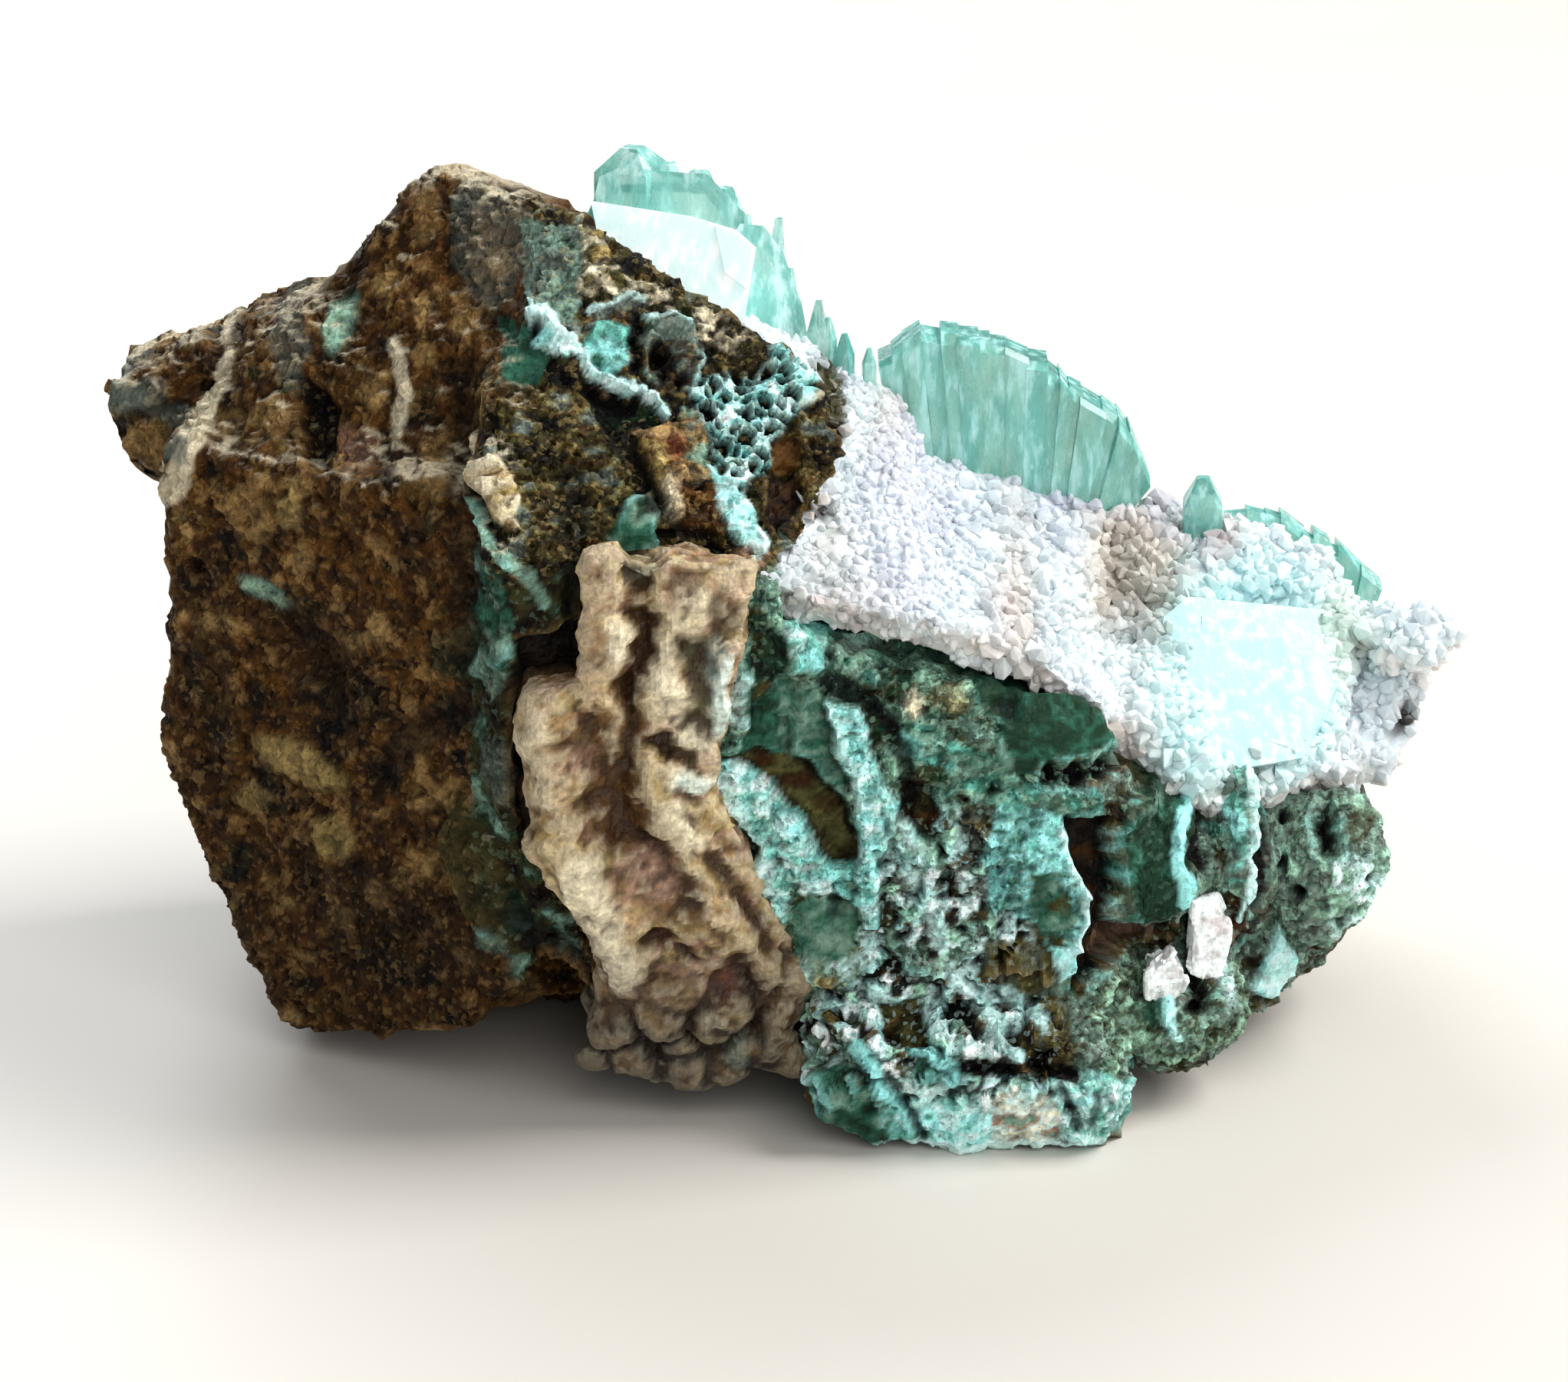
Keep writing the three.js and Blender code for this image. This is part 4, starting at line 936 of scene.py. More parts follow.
# Colour, how strongly it lies, rise, middle, half widths, tilt. The soot and black patches that lie back are
# painted shade in hollows.
SEAM_PATCHES = [
    (SOOT, 1.0, -1.4, (-7.8, 27.4), (0.9, 0.8), -40), (BLACK, 1.0, -0.8, (-7.2, 26.4), (0.5, 0.4), 0),
    (RUST, 0.6, 0.0, (-8.6, 28.4), (0.5, 0.9), 0), (UMBER, 0.8, -0.6, (-14, 27.2), (0.7, 0.4), 0),
    (CREAM, 0.8, 0.5, (-5.9, 27.6), (1.3, 0.8), 0), (OLIVE, 0.9, -0.4, (-6, 26.4), (0.7, 0.7), 0),
    (FROST, 0.8, 0.5, (-5.7, 24.9), (1.4, 0.6), -10), (MOSS, 0.8, 0.2, (-5.2, 30), (0.5, 1.4), 0),
    (RUST, 0.6, -0.5, (-7.6, 13.6), (1.4, 0.6), -15), (RUST, 0.7, -0.5, (-3.8, 10.6), (1, 1.1), 0),
    (ROSE, 0.5, 0.0, (-12.6, 25.6), (1, 1), 0), (ROSE, 0.6, 0.0, (-8.3, 18.5), (2, 1.6), -50),
    (ROSE, 0.6, 0.3, (-3, 36.8), (1.4, 0.7), 15), (SAGE, 0.8, 0.2, (-3, 5.4), (0.9, 0.9), 0),
    (CREAM, 0.5, 0.4, (-4.6, 8), (0.8, 0.7), 0), (UMBER, 0.7, -0.3, (-9.8, 31.2), (0.9, 1.2), 0),
    (PINE, 0.9, -1.2, (-8.8, 38.4), (1.3, 1.5), 0), (UMBER, 0.7, -0.5, (-8.8, 36.2), (0.9, 1.2), 0),
    (OLIVE, 0.7, -0.5, (-3.8, 35), (1.1, 1.8), 20), (UMBER, 0.6, -0.3, (-6, 37.6), (1.4, 0.8), 15),
]
seam = eroded("cream_seam", "chalcedony_seam", SEAM_STEP, SEAM_ROUNDING, SEAM_SWELL)
points, out = points_of(seam.data), facing_of(seam.data)
astray = swayed(points, *SEAM_SWAY)
forward = step(out @ to_eye, *FORWARD)
bunch = step(BUNCH_TOP - points[:, 2] + 0.25 * points[:, 0] + 2 * rough(points, 4, 205), 0, BUNCH_BLEND)
bulb, bulb_next, _ = cells(shifted(points, 0.5, 2, 209), BULB_SIZE, 211)
rise = waves(points, *SEAM_WAVE) + waves(points, *SEAM_RIPPLE)
rise += bunch * (BULB_RISE * np.sqrt(np.clip(1 - (bulb / BULB_FOOT) ** 2, 0, 1)) - BULB_SINK)
rise = ridged(rise, astray, forward, SEAM_RIDGES)
rise = raised(rise, astray, forward, SEAM_PATCHES, SEAM_SOFT)
move_to(seam.data, points + out * rise[:, None])
points, out = points_of(seam.data), facing_of(seam.data)
rise = waves(points, *SEAM_KNOB) + CHIP_RELIEF * (0.5 - cells(points, SEAM_LUMP, 233)[0])
rise = (1 - 0.4 * bunch) * rise + CHIP_RELIEF * shards(points, SEAM_CHIP, 235)[0]
points += out * rise[:, None]
points[:, 2] = np.maximum(points[:, 2], FLOOR_GAP)
move_to(seam.data, points)
points, out = points_of(seam.data), facing_of(seam.data)
hollow = np.einsum("ij,ij->i", relaxed(points, edges_of(seam.data), SEAM_ROUNDS) - points, out)
paint = mottled(points, 2.2, 241, [UMBER, TAN, ROSE, TAN, SAND, CLAY])
paint = laid(paint, bunch, mottled(points, 2.0, 243, [BARK, UMBER, TAN, UMBER, SAND]))
# Soot laid in the gaps between the bulbs: painted shade.
paint = laid(paint, BULB_GAP_SHADE * bunch * (1 - step(bulb_next - bulb, 0.05, 0.40)), SOOT)
for colour, share in ridge_shares(astray, forward, SEAM_RIDGES, SEAM_FOOT, SEAM_FULL):
    paint = laid(paint, share, colour)
paint = patched(paint, astray, forward, SEAM_PATCHES, SEAM_SOFT)
paint *= (GRIT_DARK + GRIT_RANGE * cells(shifted(points, 0.2, 0.8, 245), SEAM_GRIT, 247)[2])[:, None]
# Bark laid in the hollows: painted shade.
paint = laid(paint, SEAM_HOLLOW_SHADE * step(hollow, 0.02, 0.11), BARK)
# Cream laid where the relief stands out: a painted highlight.
paint = laid(paint, SEAM_EDGE_HIGHLIGHT * step(-hollow, 0.02, 0.10), CREAM)
paint *= (1 - SEAM_SHADE * step(SHADE_FROM - points[:, 2], 0, SHADE_HEIGHT))[:, None]
coated(seam.data, "paint", paint)

SEAM_GRANULE = 0.32     # mm across
SEAM_BUMP = (0.7, 0.2)  # its strength, and mm high
chalcedony, tree = new_finish("cream chalcedony")
place = object_place(tree)
own, away = granules(place, SEAM_GRANULE)
shade = between(grain(place, 0.45, 3.0), 0.25, 0.75) * 0.45 + own * 0.35 + 0.60
bump = bumped(grain(place, 0.5, 4.0, 0.6) + own * 0.35 - away * 0.35, *SEAM_BUMP)
finish_with(tree, Term.node(tree, "ShaderNodeBsdfPrincipled", {}, {
    "Base Color": scaled(laid_on(tree, "paint"), shade), "Normal": bump,
    "Roughness": 0.45 + between(grain(place, 1.4), 0.3, 0.7) * 0.3}))
seam.data.materials.append(chalcedony)
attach(seam, "root")
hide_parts("cream_seam")

# ---- The drusy crust ----
# A skin of tiny white quartz crystals that grew over the cavity's upper side, on a swollen,
# botryoidal bed. It ends in a broken edge, stained orange where it meets the basalt.
CRUST_STEP, CRUST_ROUNDING, CRUST_SWELL = 0.5, 4, 0.3
CRUST_SWAY = (2.2, 0.5, 301)   # mm across, mm to the side and seed of how its marks are led astray
COLLAR_SWAY = (2.6, 1.3, 341)  # the same, for the collar
CRUST_FORWARD = (-0.1, 0.2)    # how squarely its faces look at the eye where marks begin and are full
DOME, KNOB = 4.2, 2.6          # mm across, the swellings of the bed and the knobs on them
DOME_RISE, KNOB_RISE = 0.9, 0.6  # mm high, and as much again for the knobs at the right end
BED_WAVE = (0.25, 2, 311, 2)   # waves of the bed: mm high, mm across, seed and octaves
BED_SINK = 0.3                 # mm that it lies back, to leave the grains room
UNDER_SINK = 0.6               # mm that its underside lies back
RIGHT_END = (33, 37)           # mm across, where those knobs begin and where they are full
COARSE_FROM = (11.5, 13.5)     # mm across, where the grains turn from fine to coarse
COLLAR_RISE = 1.7              # mm that the bed swells up round the sunken crystal
COLLAR_MIDDLE, COLLAR_OUTER, COLLAR_INNER = (30.5, 24.5), (8, 6.6), (4.8, 3.8)
COLLAR_SOFT, BARE_SOFT, STAIN_AND_SHADE_SOFT = 0.6, 0.6, 1.0  # mm, how soft each one's edges are
LAVENDER, BEIGE = tint(208, 208, 224), tint(206, 196, 184)
PEACH, GRASS = tint(232, 204, 190), tint(206, 224, 212)
BED_COLOURS = [tint(196, 206, 212), tint(214, 226, 232), tint(230, 242, 244)]
UNDER_COLOURS = [UMBER, PEACH, tint(240, 238, 236), PEACH]
GRAIN_COLOURS = [tint(196, 214, 222), tint(218, 236, 240), tint(234, 249, 250)]
LILAC_GRAIN = tint(210, 206, 226)  # of a few grains
DRUSE_PATCH, UNDER_PATCH = 3.5, 1.4  # mm across, the patches of the druse's colours and of its underside's
# Hollows where bare rock shows: colour, how strongly it lies, rise, middle, half widths, tilt.
BARE = [
    (OLIVE, 1.0, -0.6, (2.4, 42.8), (1.5, 1.5), 0), (SOOT, 1.0, -0.9, (1.8, 38.9), (1.4, 0.7), -35),
    (SOOT, 1.0, -0.7, (41.3, 20.3), (0.5, 1.3), -25), (BARK, 1.0, -0.6, (22.4, 30.6), (0.5, 0.5), 0),
    (PINE, 1.0, -0.5, (29.4, 20.6), (1.6, 1.0), 0),
]
# Stains in the druse, and lavender, beige and grey patches that lie back, painted shade in its recesses: the
# same.
STAINS_AND_SHADE = [
    (LAVENDER, 0.8, -0.4, (21, 34), (8, 2.2), -20), (ROSE, 0.6, -0.5, (25.5, 33.3), (2, 0.6), -25),
    (BEIGE, 0.9, -0.8, (23, 30), (4, 2.2), -10), (SLATE, 0.45, -0.5, (24.2, 28.6), (2.4, 1.2), -20),
    (AQUA, 0.30, 0.3, (30, 24.5), (7, 6), 0), (UMBER, 0.35, -0.4, (21.6, 28.6), (1.4, 1.0), 0),
    (BEIGE, 0.6, -0.4, (15, 32), (1.2, 1.6), 0), (BEIGE, 0.5, -0.3, (7.5, 40), (2.2, 1.4), 0),
    (GRASS, 0.8, -0.2, (37, 25.5), (2, 2.6), 0), (ROSE, 0.5, -0.3, (29, 31.5), (1.5, 1), -20),
    (LAVENDER, 0.5, -0.2, (9, 37), (5, 3), 0), (PEACH, 0.5, 0.0, (3, 34.8), (2, 0.5), 0),
    (PEACH, 0.5, 0.0, (12.8, 32), (1.4, 0.6), 0), (PEACH, 0.5, 0.0, (21.5, 24.5), (0.7, 1.2), 30),
    (PEACH, 0.6, 0.0, (31, 20.4), (0.7, 0.7), 0), (PEACH, 0.4, 0.0, (35, 18), (2.2, 0.5), 0),
    (BEIGE, 0.5, -0.2, (2.5, 36.8), (1.6, 1), 0),
]
crust = eroded("drusy_crust", "druse_bed", CRUST_STEP, CRUST_ROUNDING, CRUST_SWELL)
points, out = points_of(crust.data), facing_of(crust.data)
astray, ragged = swayed(points, *CRUST_SWAY), swayed(points, *COLLAR_SWAY)
forward = step(out @ to_eye, *CRUST_FORWARD)
dome, knob = cells(points, DOME, 303)[0], cells(points, KNOB, 307)[0]
rise = DOME_RISE * (0.45 - dome) * step(out[:, 2], -0.2, 0.4) + waves(points, *BED_WAVE) - BED_SINK
rise += (KNOB_RISE + KNOB_RISE * step(points[:, 0], *RIGHT_END)) * (0.4 - knob) \
    - UNDER_SINK * step(-out[:, 2], -0.2, 0.5)
rise += forward * COLLAR_RISE * (in_oval(ragged, COLLAR_MIDDLE, COLLAR_OUTER, 0, COLLAR_SOFT)
                                 - in_oval(ragged, COLLAR_MIDDLE, COLLAR_INNER, 0, COLLAR_SOFT))
rise = raised(rise, astray, forward, BARE, BARE_SOFT)
rise = raised(rise, astray, forward, STAINS_AND_SHADE, STAIN_AND_SHADE_SOFT)
move_to(crust.data, points + out * rise[:, None])
points, out = points_of(crust.data), facing_of(crust.data)
# Where grains grow: on what looks up or at the eye, but not in the bare hollows.
cover = step(out[:, 2] + 0.35 * rough(points, 3, 321), -0.15, 0.1)
cover = np.maximum(cover, step(out @ to_eye, 0, 0.2) * step(out[:, 2], -0.75, -0.45))
bare = [in_oval(astray, place, halves, tilt, PAINT_SOFT) for *_, place, halves, tilt in BARE]
cover *= 1 - forward * np.max(bare, 0)
coarse = step(points[:, 0] + 2 * rough(points, 5, 323), *COARSE_FROM)
for name, values in (("fine_cover", cover * (1 - coarse)), ("coarse_cover", cover * coarse)):
    layer = crust.data.attributes.new(name, "FLOAT", "POINT")
    layer.data.foreach_set("value", values.astype(np.float32))


def druse_paint(points, colours):
    """The druse's colour at each point, stained in places and given painted shade in its recesses."""
    paint = mottled(points, DRUSE_PATCH, 331, colours)
    return patched(paint, swayed(points, *CRUST_SWAY), 1, STAINS_AND_SHADE, STAIN_AND_SHADE_SOFT)


paint = druse_paint(points, BED_COLOURS)
paint = patched(paint, swayed(points, *CRUST_SWAY), 1, BARE, PAINT_SOFT)
under = step(-out[:, 2] + 0.3 * rough(points, 2, 333), 0.1, 0.5)
paint = laid(paint, 0.5 * under, mottled(points, UNDER_PATCH, 335, UNDER_COLOURS))
coated(crust.data, "paint", paint)

druse, tree = new_finish("white druse")
place = object_place(tree)
shade = between(grain(place, 0.6, 2.0), 0.25, 0.75) * 0.15 + 0.92
finish_with(tree, Term.node(tree, "ShaderNodeBsdfPrincipled", {}, {
    "Base Color": scaled(laid_on(tree, "paint"), shade), "Normal": bumped(grain(place, 0.35, 2.0), 0.3, 0.1),
    "Roughness": 0.2 + between(grain(place, 1.0), 0.3, 0.7) * 0.3,
    "Subsurface Weight": 0.35, "Subsurface Radius": (1, 1, 1), "Subsurface Scale": 0.8 * MM}))
crust.data.materials.append(druse)

# The grains: blunt little crystals in five shapes, scattered over the bed, each turned its own way.
GRAIN_SHAPES, GRAIN_CORNERS = 5, 16
GRAIN_LENGTH = 1.2      # of a grain, its width is 1
GRAIN_BLUNTNESS = 0.4   # from 0, round, to 1, a cube
GRAIN_TILT = 0.9        # radians, the most that a grain leans
GRAINS_MOST = 4e6       # on a square metre
chance = np.random.default_rng(5)
shapes = bpy.data.collections.new("grain shapes")
for number in range(GRAIN_SHAPES):
    shape = bmesh.new()
    for corner in range(GRAIN_CORNERS):
        way = chance.normal(size=3)
        way /= np.abs(way).max() ** GRAIN_BLUNTNESS * np.linalg.norm(way) ** (1 - GRAIN_BLUNTNESS)
        shape.verts.new(way * (1.0, 1.0, GRAIN_LENGTH))
    hull = bmesh.ops.convex_hull(shape, input=shape.verts)
    spare = [g for g in hull["geom_interior"] if isinstance(g, bmesh.types.BMVert)]
    bmesh.ops.delete(shape, geom=spare, context="VERTS")
    bmesh.ops.recalc_face_normals(shape, faces=shape.faces)
    mesh = bpy.data.meshes.new("grain shape")
    shape.to_mesh(mesh)
    shape.free()
    shapes.objects.link(bpy.data.objects.new(f"grain shape {number}", mesh))

grown = bpy.data.node_groups.new("grown over a bed", "GeometryNodeTree")
INPUTS = {"Bed": "Geometry", "Cover": "String", "Gap": "Float", "Least": "Float", "Most": "Float"}
for name, kind in INPUTS.items():
    grown.interface.new_socket(name, in_out="INPUT", socket_type="NodeSocket" + kind)
grown.interface.new_socket("Grains", in_out="OUTPUT", socket_type="NodeSocketGeometry")
given = grown.nodes.new("NodeGroupInput")
bed, cover_name, gap, least, most = (Term(grown, given.outputs[name]) for name in INPUTS)
covered = Term.node(grown, "GeometryNodeInputNamedAttribute", {"data_type": "FLOAT"}, {"Name": cover_name})
spots = Term.node(grown, "GeometryNodeDistributePointsOnFaces", {"distribute_method": "POISSON"}, {
    "Mesh": bed, "Distance Min": gap, "Density Max": GRAINS_MOST, "Density Factor": covered,
    "Seed": 3}, "Points")
chosen = Term.node(grown, "GeometryNodeCollectionInfo", {}, {
    "Collection": shapes, "Separate Children": True, "Reset Children": True}, "Instances")
turn = Term.node(grown, "FunctionNodeRandomValue", {"data_type": "FLOAT_VECTOR"}, {
    0: (-GRAIN_TILT, -GRAIN_TILT, -math.pi), 1: (GRAIN_TILT, GRAIN_TILT, math.pi), "Seed": 1})
turned = Term.node(grown, "FunctionNodeRotateRotation", {"rotation_space": "LOCAL"}, {
    "Rotation": spots.beside("Rotation"),
    "Rotate By": Term.node(grown, "FunctionNodeEulerToRotation", {}, {0: turn})})
size = Term.node(grown, "FunctionNodeRandomValue", {"data_type": "FLOAT"}, {2: least, 3: most, "Seed": 2}, 1)
placed = Term.node(grown, "GeometryNodeInstanceOnPoints", {}, {
    "Points": spots, "Instance": chosen, "Pick Instance": True, "Rotation": turned, "Scale": size})
tone = Term.node(grown, "FunctionNodeRandomValue", {"data_type": "FLOAT"}, {2: 0.0, 3: 1.0, "Seed": 4}, 1)
toned = Term.node(grown, "GeometryNodeStoreNamedAttribute", {"data_type": "FLOAT", "domain": "INSTANCE"}, {
    "Geometry": placed, "Name": "tone", "Value": tone})
solid = Term.node(grown, "GeometryNodeRealizeInstances", {}, {"Geometry": toned})
dressed = Term.node(grown, "GeometryNodeSetMaterial", {}, {"Geometry": solid, "Material": druse})
grown.links.new(dressed.socket, grown.nodes.new("NodeGroupOutput").inputs["Grains"])


def grains_over(bed_piece, name, **sizes):
    """The grains that grow over a bed, as one plain mesh."""
    modifier = bed_piece.modifiers.new("grains", "NODES")
    modifier.node_group = grown
    for item in grown.interface.items_tree:
        if item.in_out == "INPUT" and item.name in sizes:
            modifier[item.identifier] = sizes[item.name]
    made = bpy.data.objects.new(name, bpy.data.meshes.new_from_object(
        bed_piece.evaluated_get(bpy.context.evaluated_depsgraph_get())))
    bed_piece.modifiers.clear()
    bpy.context.scene.collection.objects.link(made)
    return made


coats = [grains_over(crust, "fine_druse_grains", Cover="fine_cover",
                     Gap=0.42 * MM, Least=0.22 * MM, Most=0.50 * MM),
         grains_over(crust, "coarse_druse_grains", Cover="coarse_cover",
                     Gap=0.56 * MM, Least=0.26 * MM, Most=0.78 * MM)]
for shape in list(shapes.objects):
    bpy.data.objects.remove(shape)
bpy.data.collections.remove(shapes)
for grains in coats:
    points = points_of(grains.data)
    tones = np.empty(len(points), np.float32)
    grains.data.attributes["tone"].data.foreach_get("value", tones)
    paint = druse_paint(points, GRAIN_COLOURS)
    paint = laid(paint, 0.35 * step(tones, 0.7, 0.9), LILAC_GRAIN)
    coated(grains.data, "paint", paint * (0.80 + 0.20 * tones)[:, None])
    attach(grains, "root")
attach(crust, "root")
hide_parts("drusy_crust")

# ---- The crown crystals ----
# A cluster of apophyllite crystals grown together on the crest: a broad cloudy face in front, a
# mint-green crest of blunt prisms behind it, and a blade on the right.
BEVEL, FACE_BEVEL = 0.10, 0.25   # mm taken off each crystal edge by wear, and off the cloudy faces'
BEVEL_ANGLE = math.radians(18)   # the least angle of an edge that wear rounds
FLAT_ANGLE = math.radians(3)     # two faces that meet at less than this are one
PRISM_GIRTH, PRISM_TIP = 0.7, 0.22  # a prism's corner radius and its tip's, in shares of its width
PRISM_SHOULDER = 0.62            # share of its height where it starts to narrow
BULGE_SHARE = 0.6                # width of a block's swollen middle against its outline
CRYSTAL_IOR = 1.535              # of apophyllite
VEIL, STREAK, GLINT, LINE = 1.6, 0.8, 0.35, 0.35  # mm across, in a crystal and on its faces
UPRIGHT, UPRIGHT_LINES = (1, 1, 0.28), (1, 1, 0.06)  # how those are drawn out up the crystal
CRYSTAL_BUMP = (0.35, 0.12)      # its strength, and mm high
GLINT_COLOUR = tint(228, 255, 252)


def hull_piece(name, corners):
    """A closed block round the given corners, in mm."""
    shape = bmesh.new()
    for corner in corners:
        shape.verts.new(Vector(corner) * MM)
    made = bmesh.ops.convex_hull(shape, input=shape.verts)
    spare = {g for g in made["geom_interior"] + made["geom_unused"] if isinstance(g, bmesh.types.BMVert)}
    bmesh.ops.delete(shape, geom=list(spare), context="VERTS")
    bmesh.ops.dissolve_limit(shape, angle_limit=FLAT_ANGLE, verts=shape.verts, edges=shape.edges)
    bmesh.ops.recalc_face_normals(shape, faces=shape.faces)
    piece = bpy.data.objects.new(name, bpy.data.meshes.new(name))
    shape.to_mesh(piece.data)
    shape.free()
    bpy.context.scene.collection.objects.link(piece)
    return piece


def grown_together(name, blocks, wear=BEVEL):
    """Blocks joined into one solid, with its edges worn by a narrow bevel."""
    piece, *others = [hull_piece(name, block) for block in blocks]
    if others:
        cluster = bpy.data.collections.new("cluster")
        for other in others:
            cluster.objects.link(other)
        worked(piece, "BOOLEAN", operation="UNION", solver="EXACT",
               operand_type="COLLECTION", collection=cluster)
        for other in others:
            bpy.data.objects.remove(other)
        bpy.data.collections.remove(cluster)
    worked(piece, "BEVEL", width=wear * MM, segments=2, limit_method="ANGLE", angle_limit=BEVEL_ANGLE)
    return piece


def spot(node, shares):
    """A place in a CAD node's box, from its shares of the box across, back and up, in mm."""
    low, high = (np.array(corner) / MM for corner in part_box(node))
    return low + np.array(shares, float) * (high - low)


def block(node, outline, front, back, lean=0.0, turn=0.0, bulge=0.0, taper=0.85, droop=0.0):
    """Corners of a crystal block, in mm. Its outline, front and back are shares of the node's box. The
    front tips back by lean and swings back by turn, mm per mm, and its middle swells by bulge mm. The
    back is taper times as wide and lies droop mm lower."""
    ring = np.array([spot(node, (x, front, z)) for x, z in outline])
    heart = ring.mean(0)

    def face(share, forward):
        around = heart + (ring - heart) * share
        around[:, 1] += turn * (around[:, 0] - heart[0]) + lean * (around[:, 2] - heart[2]) - forward
        return around

    rear = heart + (ring - heart) * taper
    rear[:, 1], rear[:, 2] = spot(node, (0, back, 0))[1], rear[:, 2] - droop
    return [*face(1, 0), *(face(BULGE_SHARE, bulge) if bulge else ()), *rear]


def prism(node, foot, top, width, turn, lean=0.0):
    """Corners of a square crystal with a blunt four-sided tip. Its foot and top are in shares of the
    node's box, its width in mm, and it leans to the right by lean mm per mm."""
    foot = spot(node, foot)
    height = spot(node, (0, 0, top))[2] - foot[2]
    return [foot + (width * girth * math.cos(angle) + lean * up, width * girth * math.sin(angle), up)
            for girth, up in ((PRISM_GIRTH, 0), (PRISM_GIRTH, height * PRISM_SHOULDER), (PRISM_TIP, height))
            for angle in (turn + side * math.pi / 2 for side in range(4))]


def stretched(place, shares):
    """A place with its distances across, back and up each taken in part."""
    return Term.node(place.tree, "ShaderNodeVectorMath", {"operation": "MULTIPLY"}, {0: place, 1: shares})


def apophyllite_finish(name, clear, cloud, bright, least, most, absorbed, density, painted_glow=0.0):
    """Clear crystal with cloudy veils that run up it, from least to most dense, with brighter streaks,
    and fine growth lines on its faces."""
    material, tree = new_finish(name)
    place = object_place(tree)
    upright = stretched(place, UPRIGHT)
    lines = grain(stretched(place, UPRIGHT_LINES), LINE)
    bump = bumped(lines * 0.6 + grain(place, 0.8) * 0.5, *CRYSTAL_BUMP)
    window = Term.node(tree, "ShaderNodeBsdfPrincipled", {}, {
        "Base Color": clear, "Roughness": 0.08 + between(grain(place, 1.2), 0.4, 0.75) * 0.3,
        "Transmission Weight": 1.0, "IOR": CRYSTAL_IOR, "Normal": bump})
    streak = between(grain(upright, STREAK, 3.0), 0.46, 0.66)
    glint = between(grain(upright, GLINT), 0.66, 0.72)
    shade = mixed(glint * 0.7, mixed(streak, cloud, bright), GLINT_COLOUR)
    # The veils' colour also shines by painted_glow: painted light, which stands in for light that comes
    # through the crystal.
    veil = Term.node(tree, "ShaderNodeBsdfPrincipled", {}, {
        "Base Color": shade, "Roughness": 0.32, "Normal": bump,
        "Emission Color": shade, "Emission Strength": painted_glow})
    share = between(grain(upright, VEIL, 4.0, 0.6), 0.3, 0.68) * (most - least) + least
    surface = Term.node(tree, "ShaderNodeMixShader", {}, {0: share, 1: window, 2: veil})
    finish_with(tree, surface, Term.node(tree, "ShaderNodeVolumeAbsorption", {}, {
        "Color": absorbed, "Density": density}))
    return material


mint = apophyllite_finish(
    "mint apophyllite", clear=tint(228, 250, 244), cloud=tint(112, 200, 188), bright=tint(188, 248, 244),
    least=0.30, most=0.80, absorbed=tint(150, 226, 206), density=110.0)
pale_mint = apophyllite_finish(
    "pale mint apophyllite", clear=tint(236, 254, 250), cloud=tint(140, 214, 204), bright=tint(214, 254, 250),
    least=0.30, most=0.85, absorbed=tint(168, 234, 220), density=90.0)
# The milky face glows a little: painted light in place of the light that passes through it from behind.
milky = apophyllite_finish(
    "milky apophyllite", clear=tint(244, 255, 255), cloud=tint(226, 250, 250), bright=tint(252, 255, 255),
    least=0.90, most=1.0, absorbed=tint(210, 246, 244), density=50.0, painted_glow=0.30)

CROWN = "crown_crystals"
crest = grown_together("crown_crest", [
    block(CROWN, [(0, 0.80), (0.02, 0.88), (0.10, 0.92), (0.48, 0.89), (0.56, 0.80), (0.64, 0.71),
                  (0.68, 0.55), (0.55, 0.28), (0.07, 0.28)],
          0.70, 1.0, lean=0.1, droop=2),
    prism(CROWN, (0.16, 0.80, 0.72), 0.99, 3.9, 0.35),
    prism(CROWN, (0.10, 0.80, 0.3), 0.90, 3.2, 0.2),
    prism(CROWN, (0.31, 0.82, 0.3), 0.905, 3.4, 0.9),
    prism(CROWN, (0.44, 0.80, 0.3), 0.875, 3.4, 0.5),
    prism(CROWN, (0.55, 0.80, 0.3), 0.80, 2.6, 0.1),
    block(CROWN, [(0.56, 0.60), (0.62, 0.70), (0.72, 0.69), (0.80, 0.58), (0.88, 0.36), (0.93, 0.08),
                  (0.55, 0.08)],
          0.55, 0.80, lean=0.3, droop=2),
    prism(CROWN, (0.74, 0.62, 0.05), 0.72, 1.3, 0.6, lean=0.07),
    prism(CROWN, (0.64, 0.66, 0.1), 0.72, 0.9, 0.2, lean=0.02),
    prism(CROWN, (0.80, 0.58, 0.0), 0.50, 1.1, 0.2, lean=0.07),
    prism(CROWN, (0.94, 0.55, 0.0), 0.36, 1.3, 0.7, lean=0.04),
    prism(CROWN, (0.99, 0.55, 0.0), 0.28, 0.9, 0.3, lean=0.02),
])
crest.data.materials.append(pale_mint)
FACE_TIP = {"lean": 0.6, "turn": -0.2}  # how the cloudy face lies back
face = grown_together("crown_face", [
    block(CROWN, [(0, 0.91), (0.42, 0.87), (0.61, 0.825), (0.69, 0.76), (0.645, 0.484), (0.42, 0.347),
                  (0.097, 0.484)],
          0.148, 0.80, droop=5, **FACE_TIP),
    block(CROWN, [(0.52, 0.84), (0.62, 0.81), (0.675, 0.75), (0.65, 0.60), (0.56, 0.66)],
          0.135, 0.60, droop=4, **FACE_TIP),
], FACE_BEVEL)
face.data.materials.append(milky)
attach(crest, "root")
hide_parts(CROWN)
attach(face, "root")

